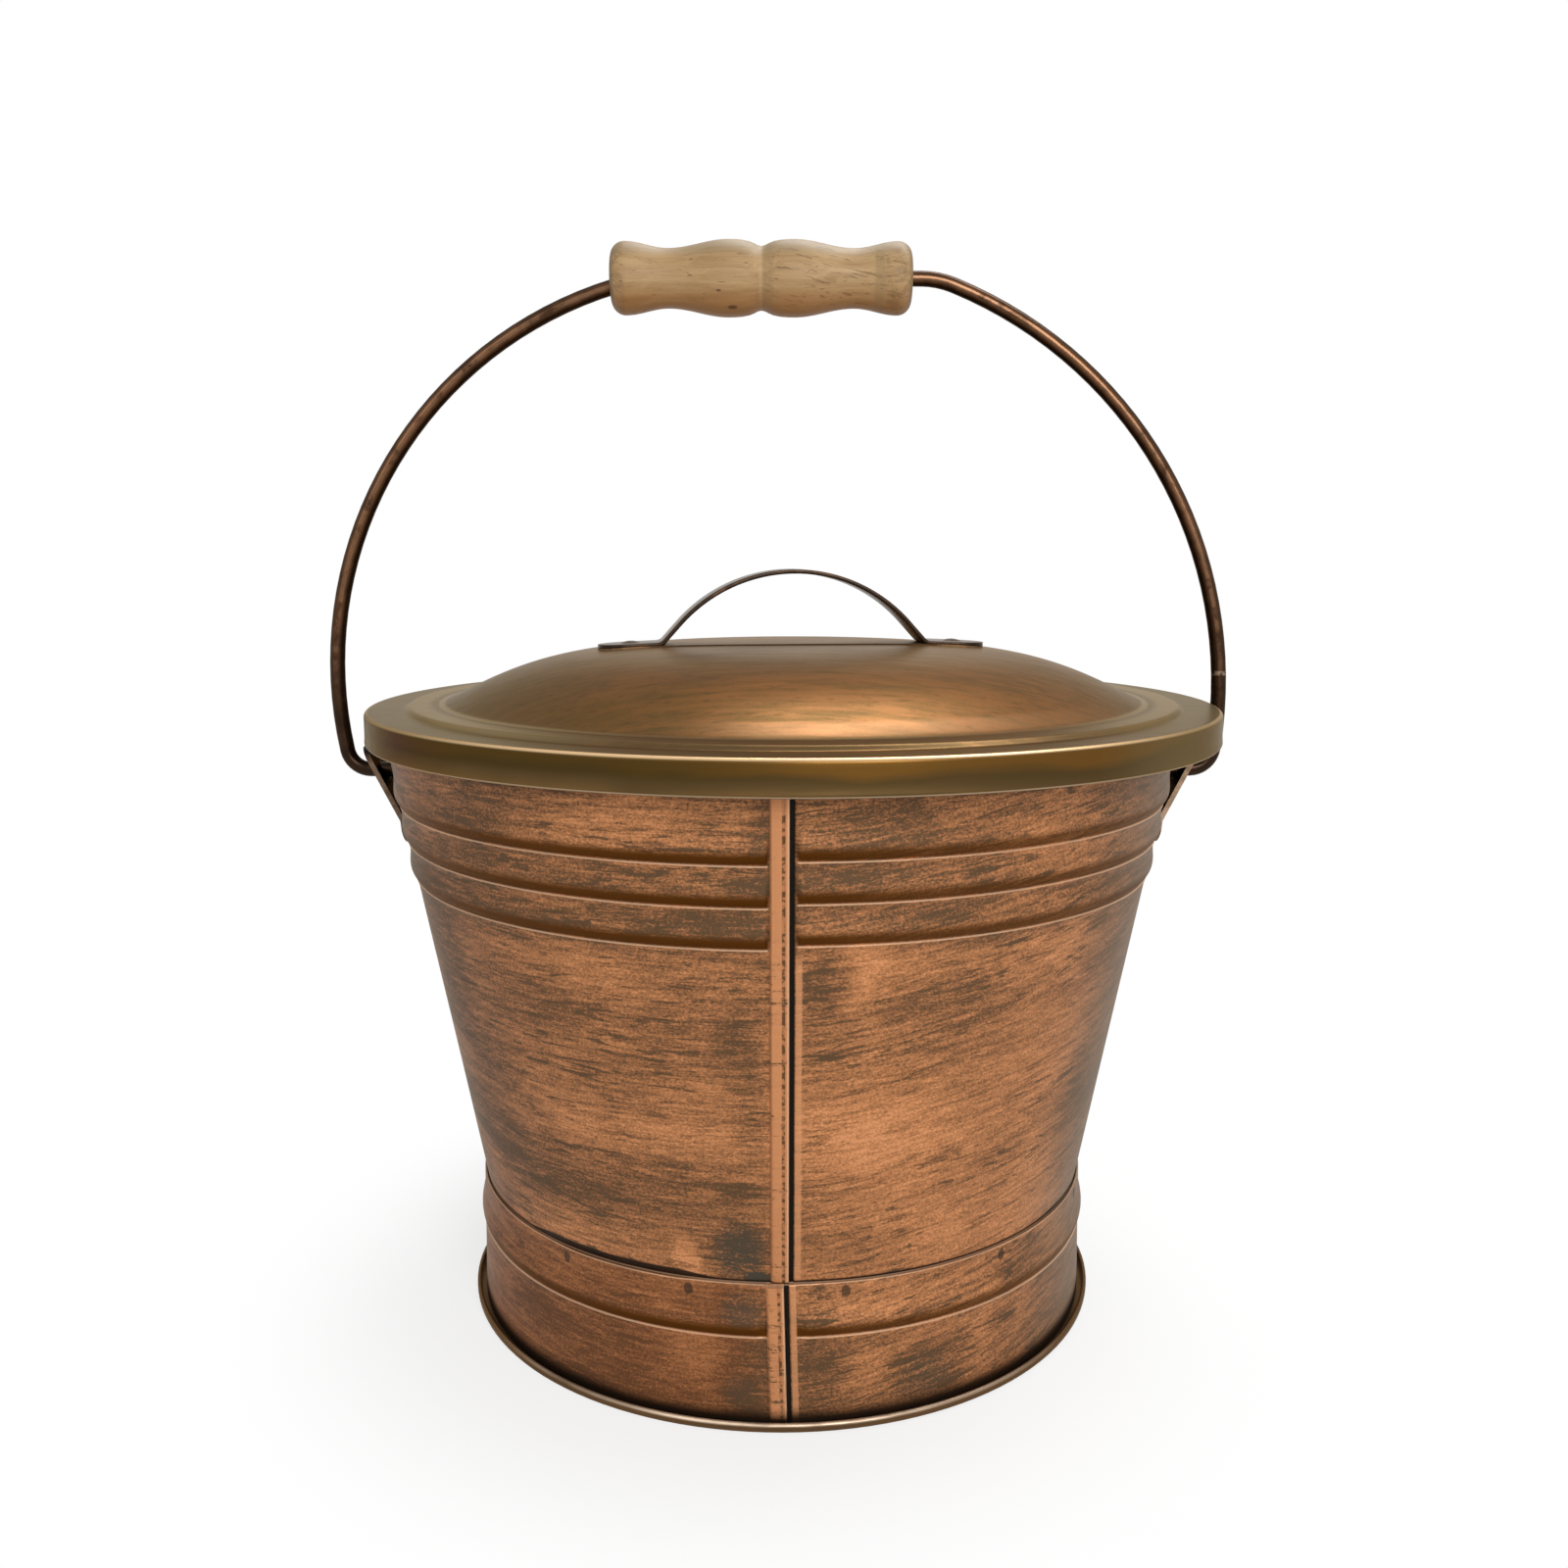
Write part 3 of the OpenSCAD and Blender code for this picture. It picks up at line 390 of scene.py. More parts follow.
class Paint:
    """One material's node tree, with a short call for each kind of node that the materials share."""

    def __init__(self, name):
        self.material = bpy.data.materials.new(name)
        self.material.use_nodes = True
        self.tree = self.material.node_tree
        self.tree.nodes.clear()
        self.object = self.new("ShaderNodeTexCoord").outputs["Object"]
        self.x, self.y, self.z = self.parts(self.object)

    def new(self, kind, **settings):
        node = self.tree.nodes.new(kind)
        for key, value in settings.items():
            setattr(node, key, value)
        return node

    def join(self, value, socket):
        """Feeds a socket with another node's output, or with a plain number or colour."""
        if isinstance(value, bpy.types.NodeSocket):
            self.tree.links.new(value, socket)
        elif isinstance(value, tuple) and socket.type == "RGBA":
            socket.default_value = (*value, 1)
        else:
            socket.default_value = value

    def parts(self, vector):
        """The x, y and z of a vector."""
        split = self.new("ShaderNodeSeparateXYZ")
        self.join(vector, split.inputs[0])
        return split.outputs

    def facing(self):
        """The x, y and z of the direction in which the surface faces, in the object's own coordinates."""
        return self.parts(self.new("ShaderNodeTexCoord").outputs["Normal"])

    def math(self, operation, *values):
        node = self.new("ShaderNodeMath", operation=operation)
        for value, socket in zip(values, node.inputs):
            self.join(value, socket)
        return node.outputs[0]

    def add(self, *values):
        total = values[0]
        for value in values[1:]:
            total = self.math("ADD", total, value)
        return total

    def times(self, *values):
        product = values[0]
        for value in values[1:]:
            product = self.math("MULTIPLY", product, value)
        return product

    def magnitude(self, value):
        return self.math("ABSOLUTE", value)

    def in_mm(self, value):
        return self.times(value, 1 / MM)

    def swing(self, noise, share):
        """A noise from 0 to 1 as one round zero, share high in all."""
        return self.times(self.add(noise, -0.5), share)

    def noise(self, scale, detail=3.0, roughness=0.55, distortion=0.0, vector=None):
        """Noise from 0 to 1. scale is how many features it has per metre along x, y and z."""
        placed = self.new("ShaderNodeMapping")
        self.join(vector or self.object, placed.inputs["Vector"])
        placed.inputs["Scale"].default_value = scale
        node = self.new("ShaderNodeTexNoise")
        self.join(placed.outputs[0], node.inputs["Vector"])
        node.inputs["Scale"].default_value = 1
        node.inputs["Detail"].default_value = detail
        node.inputs["Roughness"].default_value = roughness
        node.inputs["Distortion"].default_value = distortion
        return node.outputs["Fac"]

    def slant(self, rise):
        """Coordinates in which streaks along x rise by this much to the right."""
        node = self.new("ShaderNodeCombineXYZ")
        sheared = self.add(self.z, self.times(self.x, rise, -1.0))
        for value, socket in zip((self.x, self.y, sheared), node.inputs):
            self.join(value, socket)
        return node.outputs[0]

    def smooth(self, value, start, end):
        """0 below start, 1 above end and a soft step between. With start above end it falls."""
        node = self.new("ShaderNodeMapRange", interpolation_type="SMOOTHSTEP")
        self.join(value, node.inputs["Value"])
        node.inputs["From Min"].default_value = start
        node.inputs["From Max"].default_value = end
        return node.outputs["Result"]

    def window(self, value, low, high, soft):
        """1 between low and high, fading to 0 within soft of them."""
        return self.times(self.smooth(value, low - soft, low), self.smooth(value, high + soft, high))

    def mix(self, share, a, b):
        node = self.new("ShaderNodeMix", data_type="RGBA")
        colours = [s for s in node.inputs if s.type == "RGBA"]
        self.join(share, node.inputs["Factor"])
        self.join(a, colours[0])
        self.join(b, colours[1])
        return next(s for s in node.outputs if s.type == "RGBA")

    def coat(self, colour, over, *shares):
        """A colour with another over it, as densely as the product of the shares."""
        return self.mix(self.times(*shares), colour, over)

    def ramp(self, value, *stops):
        """A colour that runs through stops, each a place from 0 to 1 and a colour."""
        node = self.new("ShaderNodeValToRGB")
        self.join(value, node.inputs["Fac"])
        for number, (where, colour) in enumerate(stops):
            element = node.color_ramp.elements[number] if number < 2 else node.color_ramp.elements.new(where)
            element.position = where
            element.color = (*colour, 1)
        return node.outputs["Color"]

    def angle(self):
        """Angle from the front in degrees, growing to the right."""
        return self.times(self.math("ARCTAN2", self.x, self.times(self.y, -1.0)), 180 / math.pi)

    def spot(self, across, up, wide, high):
        """Square of the distance from a spot's middle, 1 at its half-width and half-height."""
        across, up = self.times(across, 1 / wide), self.times(up, 1 / high)
        return self.add(self.times(across, across), self.times(up, up))

    def patches(self, angle, z, *places):
        """Sum of soft spots, each by its angle, height, half-width, half-height in mm and strength."""
        total = 0.0
        for where, height, wide, high, strength in places:
            distance = self.spot(self.add(angle, -where), self.add(z, -height), wide, high)
            total = self.add(total, self.times(self.smooth(distance, 1.6, 0.0), strength))
        return total

    def bump(self, height, distance, strength):
        node = self.new("ShaderNodeBump")
        self.join(height, node.inputs["Height"])
        node.inputs["Distance"].default_value = distance
        node.inputs["Strength"].default_value = strength
        return node.outputs["Normal"]

    def surface(self, colour, roughness, metallic, normal, specular, tint=(1, 1, 1)):
        shader = self.new("ShaderNodeBsdfPrincipled")
        for name, value in (("Base Color", colour), ("Roughness", roughness), ("Metallic", metallic),
                            ("Normal", normal), ("Specular IOR Level", specular), ("Specular Tint", tint)):
            self.join(value, shader.inputs[name])
        return self.finish(shader.outputs[0])

    def finish(self, shader):
        output = self.new("ShaderNodeOutputMaterial")
        self.join(shader, output.inputs["Surface"])
        return self.material


# Colours of wall and band
COPPER_BRIGHT, COPPER, COPPER_DEEP = (0.585, 0.262, 0.116), (0.490, 0.205, 0.082), (0.310, 0.132, 0.053)
PATINA_BROWN, PATINA_DARK = (0.172, 0.074, 0.032), (0.086, 0.047, 0.022)
LEFT_SIDE_SHEEN, RIGHT_SIDE_SHEEN, BAND_LEFT = (0.255, 0.190, 0.130), (0.170, 0.125, 0.085), (0.137, 0.030, 0.003)
SOOT, MARK_STAIN, SHADE_BLACK = (0.050, 0.043, 0.030), (0.035, 0.020, 0.012), (0.004, 0.003, 0.002)
GOLDEN_SHADE, PALE_EDGE = (0.076, 0.022, 0.000), (0.640, 0.405, 0.255)
STRIP_COPPER, STRIP_DOTS = (0.50, 0.215, 0.092), (0.110, 0.048, 0.020)
STRIP_EDGE, PRESSED_EDGE = (0.64, 0.40, 0.25), (0.56, 0.26, 0.12)

# Where the layers of wall and band lie: heights and distances from the seam in millimetres, and degrees from
# the front. A soft step has a start and an end, a window a low end, a high end and a softness
SIDES, SWAGES_FROM, STRIP_CLEAN_FROM, PRESSED_EDGE_TO = (38, 75), (160, 170), (150, 175), (168, 160)
LEFT_DEGREES, RIGHT_DEGREES, BAND_LEFT_DEGREES = (-95, -80, 24), (70, 95, 30), (-75, -10, 10)
SHADE_LEFT, SHADE_RIGHT = (-4.1, -5.0), (3.5, 4.8)
GAP_Z, GAP_LEFT, GAP_RIGHT, DARK_FOOT = BAND_TOP + 0.9, (-42, -18, 8), (58, 90, 12), (8.5, 3.0)
# Dark and clean areas of the patina: angle, height, half-width in degrees, half-height in mm, strength
WALL_PATCHES = (
    (-6.5, 60, 5.5, 13, 0.75), (-3.2, 51.5, 3, 2.4, 0.9), (-6, 84, 5, 4, 0.35), (-4, 110, 3, 18, 0.35),
    (-6.5, 133, 3.6, 14, 0.5), (-6, 84, 3, 3, 0.4), (-35, 141, 14, 8, 0.3), (-60, 88, 16, 14, 0.45),
    (-62, 145, 10, 22, 0.4), (-40, 75, 16, 9, 0.25), (6, 157, 3.6, 9, 0.9), (22, 146, 12, 14, 0.35),
    (25, 128, 16, 7, 0.25), (55, 158, 9, 14, 0.45), (57, 95, 9, 30, 0.28), (10, 66, 9, 5, 0.3),
    (12, 205, 6, 8, 0.45), (-2, 203, 2, 12, 0.5), (-45, 200, 9, 7, 0.3), (8, 189, 8, 5, 0.4),
    (-4, 187, 4, 6, 0.55), (-6, 175, 7, 5, 0.5), (22, 177, 8, 4, 0.35), (50, 177, 12, 8, 0.3),
    # The two wide spots at -32 and 78 degrees darken the left front and the right side: patina, and painted
    # shade as well
    (44, 203, 10, 8, 0.3), (-32, 110, 40, 90, 0.38), (78, 110, 24, 90, 0.4), (-15.6, 57, 2.6, 8, -1.1),
    (12, 104, 14, 13, -0.5), (-20, 101, 20, 8, -0.5), (10, 156, 4, 14, -0.5), (36, 200, 9, 10, -0.35),
    (-22, 205, 9, 7, -0.3), (-30, 186, 26, 8, 0.25), (-30, 173, 26, 5, 0.2), (-28, 155, 10, 9, -0.3),
    (120, 140, 25, 30, 0.35), (148, 90, 20, 40, 0.4), (-130, 120, 25, 30, 0.35))
BAND_PATCHES = (
    (-7, 42, 5, 9, 0.6), (-6, 18, 5, 14, 0.6), (5, 18, 5, 14, 0.5), (25, 14, 8, 10, 0.7),
    (45, 42, 8, 8, 0.55), (40, 22, 4, 7, 0.45), (-48, 22, 8, 7, 0.5), (-30, 38, 8, 5, 0.2),
    (-30, 22, 36, 40, 0.65), (-14, 25, 6, 8, -0.4), (15, 42, 8, 6, -0.4), (120, 30, 20, 18, 0.4),
    (-148, 25, 24, 20, 0.4))
SOOT_PATCHES = (
    (-6.8, 61, 4.2, 11, 1.0), (-3.4, 52.0, 2.6, 2.2, 1.3), (-7.0, 41, 3.2, 6, 0.7), (-7.0, 12, 3, 6, 0.5),
    (24, 14, 5, 7, 0.5))


class CopperPaint(Paint):
    """The copper's node tree, with the fields that its layers share.

    round is the angle from the front in degrees, level the height and beside the distance to the right of
    the seam, both in millimetres."""

    def __init__(self, name):
        super().__init__(name)
        self.round = self.angle()
        self.level = self.in_mm(self.z)
        self.beside = self.in_mm(self.x)
        self.on_band = self.smooth(self.level, BAND_TOP + 0.4, BAND_TOP + 0.2)
        self.sides = self.smooth(self.magnitude(self.round), *SIDES)
        self.front = self.smooth(self.y, 0.0, -0.02)
        self.slanted = self.slant(self.add(self.times(self.smooth(self.x, -0.02, 0.05), 0.13), 0.01))
        self.grain = self.noise((1100, 1100, 1500), 3, 0.7)
        self.scratches = self.noise((120, 120, 950), 3, 0.6, 0.4, self.slanted)
        self.tone = self.patina()

    def patina(self):
        """How dark the patina is, with painted shade towards the sides: 0 on bright copper, and 1 or more
        where it is darkest.
        """
        fields = self.noise((9, 9, 24), 2, 0.5, 0.6)
        lines = self.noise((20, 20, 420), 4, 0.62, 1.0, self.slanted)
        strokes = self.noise((60, 60, 520), 3, 0.6, 0.6, self.slanted)
        cuts = self.noise((38, 38, 310), 4, 0.68, 1.4, self.slanted)
        bunches = self.noise((16, 16, 30), 2, 0.5, 0.5)
        on_wall = self.smooth(self.level, BAND_TOP - 1, BAND_TOP + 1)
        placed = self.add(self.times(self.patches(self.round, self.level, *WALL_PATCHES), on_wall),
                          self.times(self.patches(self.round, self.level, *BAND_PATCHES), self.on_band))
        pressed = self.smooth(self.level, *SWAGES_FROM)
        # Painted shade: the sides, and a little the band, are made darker here
        soft = self.add(0.30, self.times(placed, 0.60), self.swing(fields, 1.3), self.times(self.sides, 0.34),
                        self.times(self.on_band, 0.04), self.times(pressed, 0.30))
        streak = self.smooth(self.add(lines, self.swing(strokes, 0.5), self.times(soft, 0.22)), 0.54, 0.76)
        dark_lines = self.times(self.smooth(cuts, 0.555, 0.620), self.smooth(bunches, 0.30, 0.52),
                                self.add(0.46, self.times(self.sides, -0.22)))
        worn = self.add(0.235, self.times(soft, 0.58), self.times(streak, 0.18), dark_lines)
        detail = self.add(self.swing(self.scratches, 1.3), self.swing(strokes, 0.5),
                          self.swing(self.grain, 2.2))
        return self.add(worn, self.times(detail, self.add(0.80, self.times(self.sides, -0.36))))

    def stains_and_side_sheen(self, colour):
        """Painted grey sheen and shade at the far left and right, the brown left of the band's seam, and soot
        in the corners.
        """
        # Painted sheen and shade where the wall turns away at the far left and right
        colour = self.coat(colour, LEFT_SIDE_SHEEN, self.window(self.round, *LEFT_DEGREES), 0.42)
        colour = self.coat(colour, RIGHT_SIDE_SHEEN, self.window(self.round, *RIGHT_DEGREES), 0.70)
        colour = self.coat(colour, BAND_LEFT, self.on_band, self.window(self.round, *BAND_LEFT_DEGREES), 0.32)
        soot = self.patches(self.round, self.level, *SOOT_PATCHES)
        return self.coat(colour, SOOT, soot, self.smooth(self.tone, 0.45, 0.85), 0.75)

    def swage_shade(self):
        """Where the painted shade under each swage lies, and where the painted highlight along its crease is.
        """
        turn = self.math("FRACT", self.times(self.round, 1 / 360))
        sunk = self.add(self.level, self.times(turn, SPIRAL, self.smooth(self.level, *SPIRAL_RISE)))
        shade, edge = 0.0, 0.0
        for crease, height in [(crease, sunk) for crease in CREASES] + [(BAND_CREASE, self.level)]:
            band = self.times(self.smooth(height, crease + 0.1, crease + 0.5),
                              self.smooth(height, crease + 5.2, crease + 2.2))
            shade = self.add(shade, band)
            edge = self.add(edge, self.window(height, crease - 0.52, crease - 0.18, 0.16))
        beside = self.add(self.smooth(self.beside, *SHADE_LEFT), self.smooth(self.beside, *SHADE_RIGHT))
        free = self.math("MAXIMUM", beside, self.math("SUBTRACT", 1.0, self.front))
        return self.times(shade, free), self.times(edge, free)

    def seam(self, colour):
        """The strip, its dotted line, its rubbed edge, the painted shadow in the groove and the pressed edge
        beside it.
        """
        lean = self.times(self.add(self.level, -BAND_SEAM_Z), BAND_SEAM_LEAN)
        along = self.add(self.beside, self.times(self.on_band, self.add(BAND_SEAM_SHIFT, lean)))
        high_up = self.smooth(self.level, *STRIP_CLEAN_FROM)
        clean = self.math("MAXIMUM", self.smooth(self.tone, 1.3, 0.8), high_up)
        dots = self.smooth(self.noise((500, 500, 700), 1, 0.5), 0.42, 0.60)
        below_swages = self.smooth(self.level, *PRESSED_EDGE_TO)
        for over, left, right, soft, shares in (
                (STRIP_COPPER, -3.9, 1.95, 0.15, (clean, 0.85)),
                (STRIP_DOTS, -0.25, 0.5, 0.3, (self.add(0.25, self.times(dots, 0.75)),)),
                (STRIP_EDGE, 1.35, 1.8, 0.2, (0.6,)),
                # Painted shadow in the groove beside the strip
                (SHADE_BLACK, 1.9, 3.3, 0.1, ()),
                (PRESSED_EDGE, 3.9, 5.5, 0.4, (below_swages, 0.6))):
            colour = self.coat(colour, over, self.front, self.window(along, left, right, soft), *shares)
        return colour

    def band_edges(self, colour):
        """Painted shadow in the gap above the band, its pale cut edge, painted shade over the base plate and
        the marks.
        """
        opening = self.add(GAP_Z, self.times(self.window(self.round, *GAP_LEFT), 1.7),
                           self.times(self.window(self.round, *GAP_RIGHT), 0.9))
        above = self.smooth(self.math("SUBTRACT", self.level, opening), 0.5, -0.2)
        # Painted shadow in the gap between the band's top and the wall
        colour = self.coat(colour, SHADE_BLACK, above, self.smooth(self.level, BAND_TOP, BAND_TOP + 0.4), 0.95)
        cut_edge = self.smooth(self.level, BAND_TOP - 0.5, BAND_TOP - 0.15)
        colour = self.coat(colour, PALE_EDGE, cut_edge, self.on_band, 0.5)
        # Painted shade in the corner over the base plate
        colour = self.coat(colour, SHADE_BLACK, self.smooth(self.level, *DARK_FOOT), 0.95)
        marks = 0.0
        wide, high = STAIN_SIZE
        for mark in BAND_MARKS:
            off = self.add(self.round, -((mark + 180) % 360 - 180))
            distance = self.spot(off, self.add(self.level, -MARK_Z), wide / DEGREE_LENGTH, high)
            marks = self.add(marks, self.smooth(distance, 1.15, 0.55))
        return self.coat(colour, MARK_STAIN, marks, self.on_band, 0.8)


def wall_copper():
    """Brushed copper under a grainy, streaked patina, for wall and band."""
    p = CopperPaint("wall_copper")
    colour = p.ramp(p.tone, (0.0, COPPER_BRIGHT), (0.2, COPPER), (0.5, COPPER_DEEP), (0.8, PATINA_BROWN),
                    (1.0, PATINA_DARK))
    colour = p.stains_and_side_sheen(colour)
    shade, edge = p.swage_shade()
    # Painted shade under each swage, golden brown
    colour = p.coat(colour, GOLDEN_SHADE, shade, p.add(0.96, p.times(p.smooth(p.round, 2, 20), -0.20)))
    # Painted highlight along each crease
    colour = p.coat(colour, PALE_EDGE, edge, p.add(0.62, p.times(p.sides, 0.3)))
    colour = p.seam(colour)
    colour = p.band_edges(colour)
    roughness = p.add(0.40, p.times(p.tone, 0.16))
    metallic = p.add(0.48, p.times(p.tone, -0.22), p.times(shade, 0.5))
    height = p.add(p.times(p.scratches, 0.5), p.times(p.grain, 0.5))
    normal = p.bump(height, distance=0.00018, strength=0.7)
    return p.surface(colour, roughness, metallic, normal, specular=0.2, tint=(0.8, 0.7, 0.6))


# Colours of the lid
LID_WARM, LID_BROWN, LID_OLIVE = (0.185, 0.090, 0.033), (0.100, 0.060, 0.025), (0.112, 0.080, 0.034)
LID_HIGHLIGHT_TINT, LID_CROWN_SHEEN, LID_FLECK = (0.225, 0.100, 0.044), (0.200, 0.130, 0.075), (0.055, 0.032, 0.016)
DOME_FOOT_HIGHLIGHT, RING_HIGHLIGHT, FLANGE_HIGHLIGHT = (0.36, 0.190, 0.105), (0.36, 0.27, 0.17), (0.330, 0.245, 0.140)
FLAT_BROWN, FLAT_OLIVE = (0.088, 0.053, 0.023), (0.150, 0.115, 0.060)
SKIRT_STOPS = ((0.1, (0.140, 0.078, 0.028)), (0.42, (0.083, 0.050, 0.019)),
               (0.62, (0.068, 0.041, 0.014)), (0.80, (0.122, 0.058, 0.012)))
SKIRT_LEFT, SKIRT_ENDS = (0.050, 0.030, 0.007), (0.150, 0.112, 0.060)
EDGE_HIGHLIGHT, BEAD_HIGHLIGHT, JOINT_SHADOW = (0.72, 0.49, 0.27), (0.42, 0.31, 0.20), (0.020, 0.010, 0.005)
# Where the lid's layers lie, as above, with x, y and r from its middle. The skirt's stops run up a span from
# its foot, which the clouds make uneven
OLIVE_MIDDLE, OLIVE_FROM, CROWN_Z = 14.0, (55, 135), (243.0, 247.5)
GLOW_X, GLOW_Y = (0, 80, 70), (-30, -120)
DOME_FOOT_R, DOME_FOOT_X, DOME_FOOT_Y = (123, 127.5, 3), (-50, 0), (-50, -115)
FLAT_R, RING_LIGHT_R, FLANGE_LIGHT_R = (DOME_R - 3, DOME_R), (130.0, 131.3, 0.9), (136.0, 142.0, 3.0)
SKIRT_FOOT, SKIRT_SPAN, SKIRT_UNEVEN, SKIRT_Z = 214.0, 14, 22.0, (LID_Z - 0.4, LID_Z - 1.3)
SKIRT_LEFT_X, SKIRT_LEFT_Z = (20, -50), (219.5, 222.5)
SKIRT_END_RIGHT, SKIRT_END_LEFT, BEAD_Z = (85, 130), (-125, -152), (215.7, 216.3, 0.3)
EDGE_HIGHLIGHT_R, EDGE_HIGHLIGHT_Y, EDGE_HIGHLIGHT_Z = (156.4, 156.9), (-90, -150), (LID_Z - 1.0, LID_Z - 0.4)
JOINT_X, JOINT_Y, JOINT_Z = (58, 52), (STRAP_WIDTH / 2 - 0.15, STRAP_WIDTH / 2 + 0.35, 0.2), (246.4, 246.9)


def lid_bronze():
    """Satin bronze over olive brown, with painted highlights, sheen and shade on dome, folds, edge and bead.
    """
    p = Paint("lid_bronze")
    z = p.in_mm(p.z)
    x = p.add(p.in_mm(p.x), -LID_SHIFT)
    y = p.in_mm(p.y)
    r = p.math("SQRT", p.add(p.times(x, x), p.times(y, y)))
    clouds = p.noise((9, 9, 16), 3, 0.55, 0.4)
    strokes = p.noise((38, 300, 300), 4, 0.6, 0.3)
    flecks = p.noise((180, 700, 700), 3, 0.6)
    grain = p.noise((1500, 1500, 1500), 2, 0.6)
    tone = p.add(p.times(clouds, 0.6), p.times(strokes, 0.5), p.times(grain, 0.15), -0.62)
    colour = p.ramp(p.add(0.5, p.times(tone, 2.4)), (0.2, LID_WARM), (0.8, LID_BROWN))
    # Olive towards the lid's sides: tarnish, and painted shade where the lamps' gloss is weaker
    olive_and_shade = p.smooth(p.magnitude(p.add(x, -OLIVE_MIDDLE)), *OLIVE_FROM)
    colour = p.coat(colour, LID_OLIVE, olive_and_shade, 0.75)
    # Painted highlight: a warmer copper tint round the highlight on the dome's front
    highlight_tint = p.times(p.smooth(y, *GLOW_Y), p.window(x, *GLOW_X), p.smooth(tone, 0.12, -0.1))
    colour = p.coat(colour, LID_HIGHLIGHT_TINT, highlight_tint, 0.75)
    # Painted sheen: the top of the dome paler
    colour = p.coat(colour, LID_CROWN_SHEEN, p.smooth(z, *CROWN_Z), p.smooth(tone, 0.2, -0.15), 0.7)
    colour = p.coat(colour, LID_FLECK, p.smooth(flecks, 0.56, 0.68), 0.5)
    # Painted highlight round the foot of the dome, at the front
    foot = p.times(p.window(r, *DOME_FOOT_R), p.smooth(y, *DOME_FOOT_Y), p.smooth(x, *DOME_FOOT_X))
    colour = p.coat(colour, DOME_FOOT_HIGHLIGHT, foot, 0.25)
    flat = p.mix(olive_and_shade, FLAT_BROWN, FLAT_OLIVE)
    dense = p.add(0.6, p.times(p.smooth(tone, -0.1, 0.1), 0.35))
    colour = p.coat(colour, flat, p.smooth(r, *FLAT_R), dense)
    # Painted highlights on the folds at the dome's foot and at the step down to the flange, stronger at the
    # sides
    colour = p.coat(colour, RING_HIGHLIGHT, p.window(r, *RING_LIGHT_R), p.add(0.1, p.times(olive_and_shade, 0.5)))
    colour = p.coat(colour, FLANGE_HIGHLIGHT, p.window(r, *FLANGE_LIGHT_R), p.add(0.03, p.times(olive_and_shade, 0.55)))
    # Skirt: lighter above the bead, dark in the middle and golden under the edge
    up_skirt = p.times(p.add(z, p.swing(clouds, SKIRT_UNEVEN), -SKIRT_FOOT), 1 / SKIRT_SPAN)
    skirt = p.ramp(up_skirt, *SKIRT_STOPS)
    skirt = p.coat(skirt, SKIRT_LEFT, p.smooth(x, *SKIRT_LEFT_X), p.smooth(z, *SKIRT_LEFT_Z), 0.75)
    ends = p.math("MAXIMUM", p.smooth(x, *SKIRT_END_RIGHT), p.smooth(x, *SKIRT_END_LEFT))
    skirt = p.coat(skirt, SKIRT_ENDS, ends, 0.8)
    colour = p.mix(p.smooth(z, *SKIRT_Z), colour, skirt)
    # Painted highlight along the rolled edge, with some wear, strongest at the front
    sheen_and_wear = p.times(p.smooth(r, *EDGE_HIGHLIGHT_R), p.smooth(z, *EDGE_HIGHLIGHT_Z),
                     p.add(0.35, p.times(p.smooth(y, *EDGE_HIGHLIGHT_Y), 0.65)))
    colour = p.coat(colour, EDGE_HIGHLIGHT, sheen_and_wear, 0.95)
    # Painted highlight on the bead at the skirt's foot
    colour = p.coat(colour, BEAD_HIGHLIGHT, p.window(z, *BEAD_Z), 0.8)
    # Painted shadow along the backing strip's long edges
    cos, sin = math.cos(LID_TURN), math.sin(LID_TURN)
    turned_x = p.magnitude(p.add(p.times(x, cos), p.times(y, sin)))
    turned_y = p.magnitude(p.add(p.times(y, cos), p.times(x, -sin)))
    joint_shadow = p.times(p.window(turned_y, *JOINT_Y), p.smooth(turned_x, *JOINT_X), p.smooth(z, *JOINT_Z))
    colour = p.coat(colour, JOINT_SHADOW, joint_shadow, 0.8)
    roughness = p.add(0.23, p.times(strokes, 0.14), p.times(grain, 0.06))
    normal = p.bump(p.add(strokes, p.times(grain, 0.3)), distance=0.00012, strength=0.3)
    return p.surface(colour, roughness, 0.75, normal, specular=0.2, tint=(0.46, 0.37, 0.25))


# Colours of the base plate, the painted pieces and the grip
BASE_LIGHT, BASE_DARK, LIP_HIGHLIGHT = (0.150, 0.078, 0.034), (0.075, 0.043, 0.022), (0.68, 0.53, 0.39)
PAINT_DARK, PAINT_LIGHT, PAINT_WORN = (0.021, 0.012, 0.007), (0.048, 0.026, 0.014), (0.20, 0.090, 0.045)
WIRE_DARK, WIRE_LIGHT, WIRE_SHEEN_BROWN = (0.013, 0.007, 0.004), (0.028, 0.014, 0.007), (0.105, 0.047, 0.021)
WIRE_HIGHLIGHT, WIRE_CHIP = (0.250, 0.132, 0.072), (0.46, 0.34, 0.24)
EAR_DARK, EAR_LIGHT = (0.075, 0.046, 0.028), (0.150, 0.100, 0.066)
WOOD_LIGHT, WOOD_DARK, WOOD_FIBRE = (0.390, 0.256, 0.120), (0.270, 0.160, 0.066), (0.195, 0.110, 0.044)
WOOD_CUT, WOOD_PORE, WOOD_KNOT = (0.105, 0.050, 0.022), (0.08, 0.036, 0.016), (0.07, 0.032, 0.014)
WOOD_UNDER_SHADE, WOOD_TOP_SHADE, WOOD_DIRT = (0.290, 0.125, 0.040), (0.185, 0.130, 0.064), (0.15, 0.085, 0.038)
WOOD_RIM_SHADE, WOOD_NECK = (0.130, 0.078, 0.036), (0.190, 0.130, 0.060)
WOOD_GROOVE, WOOD_GROOVE_LIGHT = (0.230, 0.150, 0.070), (0.520, 0.400, 0.240)
